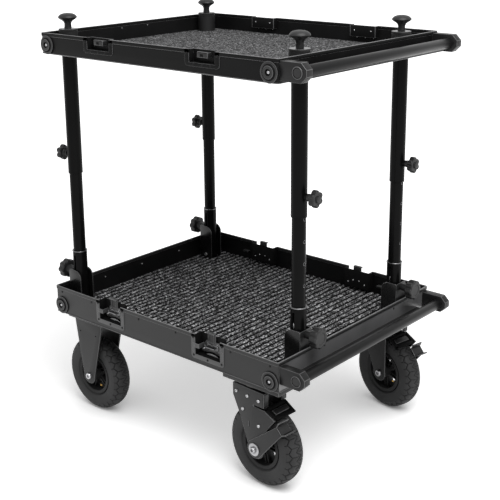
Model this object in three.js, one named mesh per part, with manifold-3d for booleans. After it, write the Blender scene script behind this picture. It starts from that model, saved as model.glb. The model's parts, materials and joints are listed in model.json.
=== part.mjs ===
// Camera cart: two carpeted trays on four telescoping posts, carried by two fixed wheels at one end
// and two braked swivel casters at the other, with a push bar on each tray above the casters.
// Millimetres. +X points to the push bars, +Y from the near long side to the far one, +Z up.
// The origin is on the ground, under the middle of the cart's box.
import * as THREE from 'three';
import { mergeVertices } from 'three/addons/utils/BufferGeometryUtils.js';
import Module from 'manifold-3d';

const wasm = await Module();
wasm.setup();

// Fits and facets
const gap = 0.3;
const boltPlay = 0.5;
const overrun = 6;
const weldDistance = 0.0001;
const tubeSides = 16;
const smallSides = 8;
const hexSides = 6;
const rimSides = 20;
const wheelSides = 32;
const cornerSteps = 2;
const forkEndSteps = 6;

// Trays
const trayLength = 776;
const trayWidth = 633;
const traySheet = 2;
const trayCornerRadius = 5;
const rimBandProud = 1.2;
const rimBandHeight = 9;
const lowerTrayDepth = 75;
const upperTrayDepth = 54;
const rimToRim = 680;
const lowerMatThickness = 13;
const upperMatThickness = 7;

// Bumper discs on the long sides
const bumperRadius = 24;
const bumperThickness = 7;
const bumperEndInset = 24;
const lowerBumperDrop = 51;
const upperBumperDrop = 30;
const bumperScrewRadius = 7;
const bumperScrewDepth = 3.5;

// Latches on the lower tray and their keepers on the upper tray
const latchSpacing = 343;
const latchFlangeWidth = 105;
const latchFlangeHeight = 62;
const latchRecessWidth = 80;
const latchRecessHeight = 51;
const latchRecessDepth = 20;
const latchBoxSheet = 1.5;
const latchHookWidth = 26;
const latchHookRise = 10;
const latchHookSheet = 3;
const latchHookSeat = 12;
const latchHookDrop = 7;
const latchBaseRadius = 17;
const latchBaseSheet = 3;
const latchPivotDrop = 28;
const latchWingRadius = 20;
const latchWingSheet = 3;
const latchWingHubRadius = 8;
const latchBladeHeight = 9;
const latchBladeSheet = 3;
const keeperFlangeHeight = 38;
const keeperRecessWidth = 78;
const keeperRecessHeight = 29;
const keeperRecessDepth = 14;
const keeperCatchWidth = 30;
const keeperCatchHeight = 9;
const keeperCatchDrop = 6;

// Push bars
const armHeight = 43;
const armThickness = 21;
const armReach = 71;
const armChamfer = 14;
const armSideInset = 5;
const lowerArmDrop = 10;
const upperArmDrop = 4;
const barRadius = 13;
const barWall = 2;
const barPlugProud = 2.5;
const barPlugThickness = 5;
const barReach = 47;
const drainRadius = 1.5;
const barPlateSheet = 4;
const barPlateInset = 24;

// Wheels
const wheelRadius = 101.6;
const tyreWidth = 53.4;
const tyreWall = 6;
const tyreBulgeShare = 0.45;
const tyreShoulderShare = 0.8;
const tyreShoulderWidthShare = 0.85;
const tyreCrownWidthShare = 0.35;
const beadRadius = 54;
const beadSpacing = 38;
const beadFlare = 1.4;
const rimFlangeRadius = 57.5;
const rimFlangeSheet = 3;
const rimWellRadius = 47;
const rimSheet = 3;
const hubRadius = 17;
const spokeCount = 5;
const spokeWidth = 12;
const spokeThickness = 22;
const axleRadius = 6;
const axleHeadRadius = 9.5;
const axleHeadHeight = 6;
const forkInnerWidth = 70;
const forkSheet = 4;

// Fixed wheels
const fixedAxleFromEnd = 97.5;
const fixedWheelInset = 59;
const fixedCrownClearance = 45;
const fixedCrownBack = 46.5;
const fixedCrownFront = 56.5;
const fixedCrownDrop = 14;
const fixedForkEndRadius = 22;
const fixedForkLeanAngle = 8;
const fixedPlateBack = 66.5;
const fixedPlateFront = 67.5;
const fixedPlateHalfWidth = 45;
const fixedPlateThickness = 10;
const fixedNeckHalf = 33;

// Swivel casters
const casterFromEnd = 100;
const casterInset = 53;
const casterTrail = 23;
const casterYawNear = -3.3;
const casterYawFar = -11;
const casterCrownClearance = 42;
const casterCrownHalf = 50;
const casterFlangeDrop = 36;
const casterFlangeWidth = 16;
const guardReach = 34;
const guardDrop = 20;
const guardBorder = 9;
const guardEdgeShare = 0.15;
const guardBarShare = 0.2;
const cheekNotchForward = 19;
const cheekNotchRise = 39.6;
const cheekWaistBack = 51;
const cheekWaistRise = 73.6;
const cheekShoulderDrop = 30;
const casterForkEndRadius = 25;
const casterForkLeanAngle = 10;
const reliefLength = 31;
const reliefHeight = 4;
const casterPlateBack = 72;
const casterPlateFront = 98;
const casterPlateHalfWidth = 49;
const casterPlateThickness = 10;
const swivelRaceRadius = 38;
const swivelRaceHeight = 12;
const kingpinRadius = 8;
const kingpinNutRadius = 14;
const kingpinNutHeight = 9;

// Brake pedals
const pedalSheet = 4;
const pedalHubRadius = 23;
const pedalTreadClearance = 3;
const pedalPadLowAngle = 37.5;
const pedalPadHighAngle = 49.5;
const pedalPadWidth = 35;
const pedalLipHeight = 12;
const pedalLipFlare = 1.4;
const pedalWasherRadius = 16;
const pedalWasherSheet = 3;

// Posts
const leftPostFromEnd = 38;
const leftPostInset = 58.5;
const rightPostFromEnd = 34;
const rightPostInset = 115.4;
const tubeRadius = 16.7;
const tubeWall = 2;
const tubePlay = 0.4;
const outerTubeRadius = 19;
const tubeTopAboveRim = 455;
const outerTubeFootAboveRim = 308;
const sleeveTopAboveRim = 90.6;
const sleeveRingRadius = 20.5;
const sleeveRingHeight = 3;
const sleeveFootClearance = 5;
const heightHolePitch = 53;
const heightHoleRadius = 4;
const heightHolesBelow = 4;
const heightHolesAbove = 1;
const clampKnobAboveRim = 357.5;
const postPlugThickness = 14;

// Sockets in the upper tray, one for the head of each post
const socketRadius = 24;
const socketAboveRim = 7;
const socketTopSheet = 5;

// Base brackets of the posts
const bracketSheet = 3;
const bracketHalfLength = 24;
const bracketTopAboveRim = 40;
const bracketCornerRadius = 22;
const pivotAboveFloor = 20;
const pivotRadius = 4;

// Knobs
const screwRadius = 4;
const clampBossRadius = 8;
const clampBossLength = 7;
const clampHubRadius = 9;
const clampHubLength = 12;
const clampDiscRadius = 21;
const clampDiscThickness = 15;
const clampCapRadius = 9;
const clampCapHeight = 4;
const baseKnobAboveRim = 29;
const baseScrewEngagement = 5;
const baseHubRadius = 9;
const baseHubEndRadius = 14;
const baseHubLength = 24.5;
const baseDiscRadius = 26;
const baseDiscThickness = 20;
const topStemRadius = 9;
const topStemHeight = 20;
const topCapRadius = 24;
const topCapHeight = 19;
const topSkirtShare = 0.7;
const topDomeShare = 0.7;
const topScrewLength = 24;
const knobChamfer = 3;
const knobLobeShare = 0.07;
const clampLobes = 6;
const baseLobes = 6;
const topLobes = 6;
const pointsPerLobe = 3;

// Heights and places that follow from the sizes above
const axleHeight = wheelRadius * Math.cos(Math.PI / wheelSides);
const casterCrownTop = wheelRadius + casterCrownClearance + forkSheet;
const fixedCrownTop = wheelRadius + fixedCrownClearance + forkSheet;
const lowerFloor = axleHeight + casterCrownTop + gap + swivelRaceHeight + casterPlateThickness;
const lowerRim = lowerFloor + lowerTrayDepth;
const upperRim = lowerRim + rimToRim;
const upperFloor = upperRim - upperTrayDepth;
const socketTop = upperRim + socketAboveRim;
const postHead = socketTop - socketTopSheet - gap;
const sleeveFaceX = outerTubeRadius + gap;
const webOuter = sleeveFaceX + bracketSheet;
const wallFace = rimBandProud;
const wallMiddle = rimBandProud + traySheet / 2;
const middleX = trayLength / 2;
const forkHalfWidth = forkInnerWidth / 2 + forkSheet;
const cartEndX = trayLength + armReach - rimBandProud;
const baseKnobReach = webOuter + gap + baseHubLength + baseDiscThickness;
const cartStartX = leftPostFromEnd - baseKnobReach;
const originX = (cartStartX + cartEndX) / 2;

// A closed solid from a geometry, with its faces turned outwards
function solid(geometry) {
  const bare = new THREE.BufferGeometry();
  bare.setAttribute('position', geometry.getAttribute('position').clone());
  if (geometry.index) bare.setIndex(geometry.index.clone());
  const welded = mergeVertices(bare, weldDistance);
  const points = Float32Array.from(welded.getAttribute('position').array);
  const corners = [];
  const index = welded.index.array;
  for (let i = 0; i < index.length; i += 3) {
    const [a, b, c] = [index[i], index[i + 1], index[i + 2]];
    if (a !== b && b !== c && c !== a) corners.push([a, b, c]);
  }
  const inward = volumeOf(points, corners) < 0;
  const triVerts = Uint32Array.from(corners.flatMap(([a, b, c]) => (inward ? [a, c, b] : [a, b, c])));
  return new wasm.Manifold(new wasm.Mesh({ numProp: 3, vertProperties: points, triVerts }));
}

function volumeOf(points, corners) {
  const at = (i) => new THREE.Vector3(points[3 * i], points[3 * i + 1], points[3 * i + 2]);
  return corners.reduce((sum, [a, b, c]) => sum + at(a).dot(at(b).cross(at(c))) / 6, 0);
}

function geometryOf(shape) {
  const mesh = shape.getMesh();
  const geometry = new THREE.BufferGeometry();
  geometry.setAttribute('position', new THREE.BufferAttribute(Float32Array.from(mesh.vertProperties), 3));
  geometry.setIndex(new THREE.BufferAttribute(Uint32Array.from(mesh.triVerts), 1));
  geometry.computeVertexNormals();
  return geometry;
}

const joined = (shapes) => shapes.reduce((whole, shape) => whole.add(shape));
const cut = (whole, shapes) => shapes.reduce((rest, shape) => rest.subtract(shape), whole);

function block([x0, x1], [y0, y1], [z0, z1]) {
  const geometry = new THREE.BoxGeometry(x1 - x0, y1 - y0, z1 - z0);
  return solid(geometry.translate((x0 + x1) / 2, (y0 + y1) / 2, (z0 + z1) / 2));
}

// A rod between two places along one axis, through a point given by its other two coordinates
function rod(axis, radius, start, end, [across, up] = [0, 0], sides = tubeSides, endRadius = radius) {
  const geometry = new THREE.CylinderGeometry(endRadius, radius, end - start, sides);
  const middle = (start + end) / 2;
  if (axis === 'x') return solid(geometry.rotateZ(-Math.PI / 2).translate(middle, across, up));
  if (axis === 'y') return solid(geometry.translate(across, middle, up));
  return solid(geometry.rotateX(Math.PI / 2).translate(across, up, middle));
}

// An outline drawn in X and Z, given thickness between two values of Y
function sidePlate(points, y0, y1) {
  const outline = new THREE.Shape(points.map(([x, z]) => new THREE.Vector2(x, z)));
  const geometry = new THREE.ExtrudeGeometry(outline, { depth: y1 - y0, bevelEnabled: false });
  return solid(geometry.rotateX(Math.PI / 2).translate(0, y1, 0));
}

// A profile of [radius, height] points turned about the Z axis, or about Y for a wheel
function turned(profile, sides, aboutY = false) {
  const geometry = new THREE.LatheGeometry(profile.map(([r, h]) => new THREE.Vector2(r, h)), sides);
  return solid(aboutY ? geometry.rotateY(Math.PI / sides) : geometry.rotateX(Math.PI / 2));
}

// A hole for a part that turns in it, so the flats of its walls stand at the given radius
function turningHole(axis, radius, start, end, place = [0, 0]) {
  return rod(axis, radius / Math.cos(Math.PI / smallSides), start, end, place, smallSides);
}

function arc([x, z], radius, fromDegrees, toDegrees, steps) {
  return Array.from({ length: steps + 1 }, (_, i) => {
    const angle = THREE.MathUtils.degToRad(fromDegrees + ((toDegrees - fromDegrees) * i) / steps);
    return [x + radius * Math.cos(angle), z + radius * Math.sin(angle)];
  });
}

function moved(shape, [x, y, z]) {
  return solid(geometryOf(shape).translate(x, y, z));
}

function flipped(shape, axis) {
  const scale = new THREE.Vector3(axis === 'x' ? -1 : 1, axis === 'y' ? -1 : 1, 1);
  return solid(geometryOf(shape).applyMatrix4(new THREE.Matrix4().makeScale(scale.x, scale.y, scale.z)));
}

// Finishes
function finish(color, roughness, metalness) {
  return new THREE.MeshStandardMaterial({ color, roughness, metalness });
}

const blackTray = () => finish(0x3c3c3c, 0.5, 0.4);
const blackSteel = () => finish(0x2c2c2c, 0.45, 0.5);
const blackTube = () => finish(0x1b1b1c, 0.35, 0.5);
const satinBar = () => finish(0x4a4a4a, 0.35, 0.6);
const zinc = () => finish(0xb8bab8, 0.35, 0.9);
const carpet = () => finish(0x4b4b4b, 0.95, 0);
const rubber = () => finish(0x3a3a3a, 0.85, 0);
const rimPlastic = () => finish(0x1a1a1a, 0.5, 0);
const knobPlastic = () => finish(0x2f2f2f, 0.6, 0);

const cart = new THREE.Group();
cart.position.set(-originX, -trayWidth / 2, 0);

function place(name, shape, material, at = [0, 0, 0], parent = cart) {
  const mesh = new THREE.Mesh(geometryOf(shape), material);
  mesh.name = name;
  mesh.position.set(...at);
  parent.add(mesh);
}

// The four posts: the left pair stands nearer the long sides, so that the pairs fold past each other
const posts = [
  { name: 'near_left', x: leftPostFromEnd, y: leftPostInset, outward: -1 },
  { name: 'far_left', x: leftPostFromEnd, y: trayWidth - leftPostInset, outward: -1 },
  { name: 'near_right', x: trayLength - rightPostFromEnd, y: rightPostInset, outward: 1 },
  { name: 'far_right', x: trayLength - rightPostFromEnd, y: trayWidth - rightPostInset, outward: 1 },
];
const latchPlaces = [
  { name: 'near_left', x: middleX - latchSpacing / 2, far: false },
  { name: 'near_right', x: middleX + latchSpacing / 2, far: false },
  { name: 'far_left', x: middleX - latchSpacing / 2, far: true },
  { name: 'far_right', x: middleX + latchSpacing / 2, far: true },
];

// Trays
function roundedPlan(inset, z0, z1) {
  const [x1, y1] = [trayLength - inset, trayWidth - inset];
  const r = trayCornerRadius;
  const outline = [
    ...arc([x1 - r, y1 - r], r, 0, 90, cornerSteps),
    ...arc([inset + r, y1 - r], r, 90, 180, cornerSteps),
    ...arc([inset + r, inset + r], r, 180, 270, cornerSteps),
    ...arc([x1 - r, inset + r], r, 270, 360, cornerSteps),
  ];
  const plan = new THREE.Shape(outline.map(([x, y]) => new THREE.Vector2(x, y)));
  const geometry = new THREE.ExtrudeGeometry(plan, { depth: z1 - z0, bevelEnabled: false });
  return solid(geometry.translate(0, 0, z0));
}

function trayPan(floor, rim) {
  const walls = roundedPlan(rimBandProud, floor, rim);
  const band = roundedPlan(0, rim - rimBandHeight, rim);
  const inside = roundedPlan(rimBandProud + traySheet, floor + traySheet, rim + overrun);
  return joined([walls, band]).subtract(inside);
}

// What is built on the near wall is mirrored for the far wall
const onWall = (shape, far) => (far ? moved(flipped(shape, 'y'), [0, trayWidth, 0]) : shape);

function recess(x, rim, size) {
  const { flangeHeight, width, height, depth } = size;
  const flangeHalf = latchFlangeWidth / 2;
  const half = width / 2;
  const back = wallFace + depth;
  const flange = block([x - flangeHalf, x + flangeHalf], [0, wallMiddle], [rim - flangeHeight, rim]);
  const box = block([x - half - latchBoxSheet, x + half + latchBoxSheet], [wallFace, back + latchBoxSheet],
    [rim - height - latchBoxSheet, rim]);
  const hollow = block([x - half, x + half], [-overrun, back], [rim - height, rim + overrun]);
  return { body: flange.add(box), hollow, back };
}

const latchSize = {
  flangeHeight: latchFlangeHeight,
  width: latchRecessWidth,
  height: latchRecessHeight,
  depth: latchRecessDepth,
};
const keeperSize = {
  flangeHeight: keeperFlangeHeight,
  width: keeperRecessWidth,
  height: keeperRecessHeight,
  depth: keeperRecessDepth,
};

function latchFixedPlates(x, back) {
  const half = latchHookWidth / 2;
  const root = back + latchBoxSheet / 2;
  const base = rod('y', latchBaseRadius, back - latchBaseSheet, root, [x, lowerRim - latchPivotDrop]);
  const hookFront = back - latchBaseSheet - latchHookSheet;
  const top = lowerRim + latchHookRise;
  const hook = block([x - half, x + half], [hookFront, root], [lowerRim - latchHookDrop, top]);
  const nose = block([x - half, x + half], [back - latchHookSeat, root], [top - latchHookSheet, top]);
  return joined([base, hook, nose]);
}

function keeperCatch(x, back) {
  const half = keeperCatchWidth / 2;
  const top = upperRim - keeperCatchDrop;
  return block([x - half, x + half], [wallFace, back + latchBoxSheet / 2], [top - keeperCatchHeight, top]);
}

function bumpers(rim, drop) {
  const centres = [bumperEndInset, trayLength - bumperEndInset];
  return centres.flatMap((x) => [false, true].map((far) => {
    const start = wallFace - bumperThickness;
    const disc = rod('y', bumperRadius, start, wallMiddle, [x, rim - drop]);
    const pocket = rod('y', bumperScrewRadius, start - overrun, start + bumperScrewDepth, [x, rim - drop],
      smallSides);
    return onWall(disc.subtract(pocket), far);
  }));
}

function lowerTray() {
  let tray = joined([trayPan(lowerFloor, lowerRim), ...bumpers(lowerRim, lowerBumperDrop)]);
  for (const { x, far } of latchPlaces) {
    const { body, hollow, back } = recess(x, lowerRim, latchSize);
    const open = tray.add(onWall(body, far)).subtract(onWall(hollow, far));
    tray = open.add(onWall(latchFixedPlates(x, back), far));
  }
  return tray;
}

function upperTray() {
  let tray = joined([trayPan(upperFloor, upperRim), ...bumpers(upperRim, upperBumperDrop)]);
  for (const { x, far } of latchPlaces) {
    const { body, hollow, back } = recess(x, upperRim, keeperSize);
    const open = tray.add(onWall(body, far)).subtract(onWall(hollow, far));
    tray = open.add(onWall(keeperCatch(x, back), far));
  }
  for (const { x, y } of posts) {
    const socket = rod('z', socketRadius, upperFloor, socketTop, [x, y]);
    const bore = rod('z', outerTubeRadius + gap, upperFloor - overrun, socketTop - socketTopSheet, [x, y]);
    const screwHole = rod('z', screwRadius + boltPlay, upperFloor, socketTop + overrun, [x, y], smallSides);
    tray = cut(tray.add(socket), [bore, screwHole]);
  }
  return tray;
}

function mat(floor, thickness, cutouts) {
  const bottom = floor + traySheet;
  const sheetOfPile = roundedPlan(rimBandProud + traySheet + gap, bottom, bottom + thickness);
  return cut(sheetOfPile, cutouts(bottom - overrun, bottom + thickness + overrun));
}

const bracketCutouts = (z0, z1) => posts.map(({ x, y, outward }) => {
  const inner = x - outward * (bracketHalfLength + gap);
  const outer = x + outward * (webOuter + trayLength - rightPostFromEnd);
  const half = sleeveFaceX + bracketSheet + gap;
  return block([Math.min(inner, outer), Math.max(inner, outer)], [y - half, y + half], [z0, z1]);
});
const socketCutouts = (z0, z1) => posts.map(({ x, y }) => rod('z', socketRadius + gap, z0, z1, [x, y]));

place('lower_tray', lowerTray(), blackTray());
place('lower_mat', mat(lowerFloor, lowerMatThickness, bracketCutouts), carpet());
place('upper_tray', upperTray(), blackTray());
place('upper_mat', mat(upperFloor, upperMatThickness, socketCutouts), carpet());

// Latch wings, built about their own pivot on the near wall
function latchWing() {
  const start = -latchWingSheet;
  const reach = latchWingRadius - latchWingHubRadius;
  const lobe = (side) => rod('y', latchWingHubRadius, start, 0, [side * reach, 0], smallSides);
  const bridge = block([-reach, reach], [start, 0], [-latchWingHubRadius, latchWingHubRadius]);
  const bladeHalf = latchBladeSheet / 2;
  const blade = block([-reach, reach], [start - latchBladeHeight, start], [-bladeHalf, bladeHalf]);
  return joined([lobe(-1), lobe(1), bridge, blade]);
}

for (const { name, x, far } of latchPlaces) {
  const seat = wallFace + latchRecessDepth - latchBaseSheet - gap;
  const wing = far ? flipped(latchWing(), 'y') : latchWing();
  place(`latch_wing_${name}`, wing, zinc(), [x, far ? trayWidth - seat : seat, lowerRim - latchPivotDrop]);
}

// Push bars
function arm(top, far) {
  const [x0, x1] = [trayLength - rimBandProud, cartEndX];
  const bottom = top - armHeight;
  const outline = [
    [x0, bottom], [x1 - armChamfer, bottom], [x1, bottom + armChamfer],
    [x1, top - armChamfer], [x1 - armChamfer, top], [x0, top],
  ];
  const y0 = far ? trayWidth - armSideInset - armThickness : armSideInset;
  const barHole = rod('y', barRadius + gap, y0 - overrun, y0 + armThickness + overrun,
    [trayLength + barReach, top - armHeight / 2]);
  return sidePlate(outline, y0, y0 + armThickness).subtract(barHole);
}

function rimRelief(rim) {
  return block([0, trayLength + gap], [0, trayWidth], [rim - rimBandHeight - gap, rim + overrun]);
}

function bar(height) {
  const x = trayLength + barReach;
  const [y0, y1] = [armSideInset - barPlugProud, trayWidth - armSideInset + barPlugProud];
  const outside = rod('y', barRadius, y0, y1, [x, height]);
  const inside = rod('y', barRadius - barWall, y0 + barPlugThickness, y1 - barPlugThickness, [x, height]);
  const drainY = armSideInset + armThickness + barPlateInset / 2;
  const drain = rod('z', drainRadius, height - barRadius - overrun, height, [x, drainY], smallSides);
  return cut(outside, [inside, drain]);
}

function barPlate(height) {
  const top = height - barRadius - gap;
  const inset = armSideInset + armThickness + barPlateInset;
  return block([trayLength - rimBandProud, trayLength + barReach], [inset, trayWidth - inset],
    [top - barPlateSheet, top]);
}

for (const { name, rim, drop } of [
  { name: 'lower', rim: lowerRim, drop: lowerArmDrop },
  { name: 'upper', rim: upperRim, drop: upperArmDrop },
]) {
  const top = rim - drop;
  place(`${name}_handle_arm_near`, arm(top, false).subtract(rimRelief(rim)), blackSteel());
  place(`${name}_handle_arm_far`, arm(top, true).subtract(rimRelief(rim)), blackSteel());
  place(`${name}_push_bar`, bar(top - armHeight / 2), satinBar());
  place(`${name}_bar_plate`, barPlate(top - armHeight / 2), blackTray());
}

// Posts, each built about its own axis with its outward side at +X
function leg() {
  const foot = lowerFloor + traySheet + bracketSheet + sleeveFootClearance;
  const sleeveTop = lowerRim + sleeveTopAboveRim;
  const tubeTop = lowerRim + tubeTopAboveRim;
  const sleeve = rod('z', outerTubeRadius, foot, sleeveTop);
  const ring = rod('z', sleeveRingRadius, sleeveTop - sleeveRingHeight, sleeveTop);
  const tube = rod('z', tubeRadius, foot, tubeTop);
  const bore = rod('z', tubeRadius - tubeWall, lowerRim, tubeTop + overrun);
  const pivot = rod('y', pivotRadius + gap, -outerTubeRadius - overrun, outerTubeRadius + overrun,
    [0, lowerFloor + traySheet + pivotAboveFloor], smallSides);
  const screwHole = rod('x', screwRadius + boltPlay, 0, outerTubeRadius + overrun,
    [0, lowerRim + baseKnobAboveRim], smallSides);
  const heightHoles = [];
  for (let step = -heightHolesBelow; step <= heightHolesAbove; step += 1) {
    const height = lowerRim + clampKnobAboveRim + step * heightHolePitch;
    heightHoles.push(rod('x', heightHoleRadius, 0, tubeRadius + overrun, [0, height], smallSides));
  }
  return cut(joined([sleeve, ring, tube]), [bore, pivot, screwHole, ...heightHoles]);
}

function outerTube() {
  const foot = lowerRim + outerTubeFootAboveRim;
  const knobHeight = lowerRim + clampKnobAboveRim;
  const tube = rod('z', outerTubeRadius, foot, postHead);
  const bossEnd = outerTubeRadius + clampBossLength;
  const boss = rod('x', clampBossRadius, tubeRadius + tubePlay, bossEnd, [0, knobHeight], smallSides);
  const bore = rod('z', tubeRadius + tubePlay, foot - overrun, postHead - postPlugThickness);
  const plugFoot = postHead - postPlugThickness;
  const holeRadius = screwRadius + boltPlay;
  const plugHole = rod('z', holeRadius, plugFoot - overrun, postHead + overrun, [0, 0], smallSides);
  const screwHole = rod('x', holeRadius, 0, bossEnd + overrun, [0, knobHeight], smallSides);
  return cut(tube.add(boss), [bore, plugHole, screwHole]);
}

function baseBracket() {
  const floor = lowerFloor + traySheet;
  const top = lowerRim + bracketTopAboveRim;
  const half = sleeveFaceX + bracketSheet;
  const r = bracketCornerRadius;
  const cheek = [
    [-bracketHalfLength, floor], [webOuter, floor], [webOuter, top],
    ...arc([r - bracketHalfLength, top - r], r, 90, 180, cornerSteps + 1),
  ];
  const cheeks = [sidePlate(cheek, -half, -sleeveFaceX), sidePlate(cheek, sleeveFaceX, half)];
  const web = block([sleeveFaceX, webOuter], [-half, half], [floor, top]);
  const foot = block([-bracketHalfLength, webOuter], [-half, half], [floor, floor + bracketSheet]);
  const pin = rod('y', pivotRadius, -half, half, [0, floor + pivotAboveFloor], smallSides);
  const screwHeight = lowerRim + baseKnobAboveRim;
  const screwHole = rod('x', screwRadius + boltPlay, 0, webOuter + overrun, [0, screwHeight], smallSides);
  return joined([...cheeks, web, foot, pin]).subtract(screwHole);
}

// A knob's lobed outline, extruded along Z with chamfered faces
function lobedDisc(radius, lobes, thickness) {
  const count = lobes * pointsPerLobe;
  const rim = Array.from({ length: count }, (_, i) => {
    const angle = (2 * Math.PI * i) / count;
    const reach = radius * (1 - knobLobeShare + knobLobeShare * Math.cos(lobes * angle)) - knobChamfer;
    return new THREE.Vector2(reach * Math.cos(angle), reach * Math.sin(angle));
  });
  const geometry = new THREE.ExtrudeGeometry(new THREE.Shape(rim), {
    depth: thickness - 2 * knobChamfer,
    bevelThickness: knobChamfer,
    bevelSize: knobChamfer,
    bevelSegments: 1,
  });
  return geometry.translate(0, 0, knobChamfer);
}

const alongX = (geometry, start) => solid(geometry.rotateY(Math.PI / 2).translate(start, 0, 0));

function clampKnob() {
  const hubStart = outerTubeRadius + clampBossLength + gap;
  const discStart = hubStart + clampHubLength;
  const discEnd = discStart + clampDiscThickness;
  return joined([
    rod('x', screwRadius, tubeRadius + gap, discStart, [0, 0], smallSides),
    rod('x', clampHubRadius, hubStart, discStart, [0, 0], smallSides),
    alongX(lobedDisc(clampDiscRadius, clampLobes, clampDiscThickness), discStart),
    rod('x', clampCapRadius, discEnd, discEnd + clampCapHeight, [0, 0], smallSides, clampCapRadius / 2),
  ]);
}

function baseKnob() {
  const hubStart = webOuter + gap;
  const discStart = hubStart + baseHubLength;
  return joined([
    rod('x', screwRadius, outerTubeRadius - baseScrewEngagement, discStart, [0, 0], smallSides),
    rod('x', baseHubRadius, hubStart, discStart, [0, 0], smallSides, baseHubEndRadius),
    alongX(lobedDisc(baseDiscRadius, baseLobes, baseDiscThickness), discStart),
  ]);
}

// A domed cap with a scalloped skirt, on a stem whose screw goes down into the post
function topKnob() {
  const capFoot = gap + topStemHeight;
  const skirtHeight = topCapHeight * topSkirtShare;
  const crown = capFoot + skirtHeight;
  const skirt = solid(lobedDisc(topCapRadius, topLobes, skirtHeight).translate(0, 0, capFoot));
  return joined([
    skirt,
    rod('z', topCapRadius * topDomeShare, crown - gap, capFoot + topCapHeight, [0, 0], tubeSides,
      topCapRadius * topDomeShare / 2),
    rod('z', topStemRadius, gap, capFoot + gap, [0, 0], smallSides),
    rod('z', screwRadius, -topScrewLength, capFoot, [0, 0], smallSides),
  ]);
}

for (const { name, x, y, outward } of posts) {
  const facing = (shape) => (outward < 0 ? flipped(shape, 'x') : shape);
  place(`base_bracket_${name}`, facing(baseBracket()), blackSteel(), [x, y, 0]);
  place(`post_leg_${name}`, facing(leg()), blackTube(), [x, y, 0]);
  place(`post_outer_tube_${name}`, facing(outerTube()), blackTube(), [x, y, 0]);
  place(`clamp_knob_${name}`, facing(clampKnob()), knobPlastic(), [x, y, lowerRim + clampKnobAboveRim]);
  place(`base_knob_${name}`, facing(baseKnob()), knobPlastic(), [x, y, lowerRim + baseKnobAboveRim]);
  place(`tray_knob_${name}`, topKnob(), knobPlastic(), [x, y, socketTop]);
}

// Wheels, built about their own axle along Y
function tyre() {
  const half = tyreWidth / 2;
  const bead = beadSpacing / 2;
  const height = wheelRadius - beadRadius;
  const bulge = beadRadius + height * tyreBulgeShare;
  const shoulder = beadRadius + height * tyreShoulderShare;
  const [shoulderHalf, crownHalf] = [half * tyreShoulderWidthShare, half * tyreCrownWidthShare];
  const innerHalf = half - tyreWall - tyreWall;
  const crown = [
    [beadRadius, -bead], [bulge, -half], [shoulder, -shoulderHalf], [wheelRadius, -crownHalf],
    [wheelRadius, crownHalf], [shoulder, shoulderHalf], [bulge, half], [beadRadius, bead],
  ];
  const inner = [
    [beadRadius, bead - tyreWall], [wheelRadius - tyreWall, innerHalf],
    [wheelRadius - tyreWall, -innerHalf], [beadRadius, tyreWall - bead],
  ];
  return turned([...crown, ...inner, crown[0]], wheelSides, true);
}

function wheelRim() {
  const inner = beadSpacing / 2 + beadFlare + gap;
  const outer = inner + rimFlangeSheet;
  const seat = beadRadius - gap;
  const well = [
    [rimWellRadius, -outer], [rimFlangeRadius, -outer], [rimFlangeRadius, -inner], [seat, -inner],
    [seat, inner], [rimFlangeRadius, inner], [rimFlangeRadius, outer], [rimWellRadius, outer],
  ];
  const ring = turned([...well, well[0]], rimSides, true);
  const hubHalf = forkInnerWidth / 2 - gap;
  const hub = rod('y', hubRadius, -hubHalf, hubHalf);
  const spokes = Array.from({ length: spokeCount }, (_, i) => {
    const bare = new THREE.BoxGeometry(rimWellRadius, spokeThickness, spokeWidth);
    const angle = (2 * Math.PI * i) / spokeCount;
    return solid(bare.translate(rimWellRadius / 2 + rimSheet / 2, 0, 0).rotateY(angle));
  });
  const axleHole = turningHole('y', axleRadius + gap, -hubHalf - overrun, hubHalf + overrun);
  return joined([ring, hub, ...spokes]).subtract(axleHole);
}

// An axle bolt with a hexagon at each end; the stack is what lies between a cheek and the bolt's head
function axleBolt(stack) {
  const nut = forkHalfWidth + gap;
  const head = nut + stack;
  const into = axleHeadHeight / 2;
  return joined([
    rod('y', axleRadius, -head - into, nut + into, [0, 0], smallSides),
    rod('y', axleHeadRadius, -head - axleHeadHeight, -head, [0, 0], hexSides),
    rod('y', axleHeadRadius, nut, nut + axleHeadHeight, [0, 0], hexSides),
  ]);
}

function axleHoleThrough() {
  return turningHole('y', axleRadius + gap, -forkHalfWidth - overrun, forkHalfWidth + overrun);
}

// The fixed fork: two tapered cheeks under a crown, with a neck and a plate screwed to the tray
function fixedFork() {
  const r = fixedForkEndRadius;
  const forkEnd = arc([0, 0], r, 180 - fixedForkLeanAngle, 360 + fixedForkLeanAngle, forkEndSteps);
  const cheek = [
    [-fixedCrownBack, fixedCrownTop], ...forkEnd,
    [fixedCrownFront, fixedCrownTop - fixedCrownDrop], [fixedCrownFront, fixedCrownTop],
  ];
  const inner = forkInnerWidth / 2;
  const crown = block([-fixedCrownBack, fixedCrownFront], [-forkHalfWidth, forkHalfWidth],
    [fixedCrownTop - forkSheet, fixedCrownTop]);
  const trayFloor = lowerFloor - axleHeight;
  const neckSides = [-fixedNeckHalf, fixedNeckHalf];
  const neck = block(neckSides, neckSides, [fixedCrownTop, trayFloor]);
  const plate = block([-fixedPlateBack, fixedPlateFront], [-fixedPlateHalfWidth, fixedPlateHalfWidth],
    [trayFloor - fixedPlateThickness, trayFloor]);
  const cheeks = [sidePlate(cheek, -forkHalfWidth, -inner), sidePlate(cheek, inner, forkHalfWidth)];
  return joined([...cheeks, crown, neck, plate]).subtract(axleHoleThrough());
}

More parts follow.
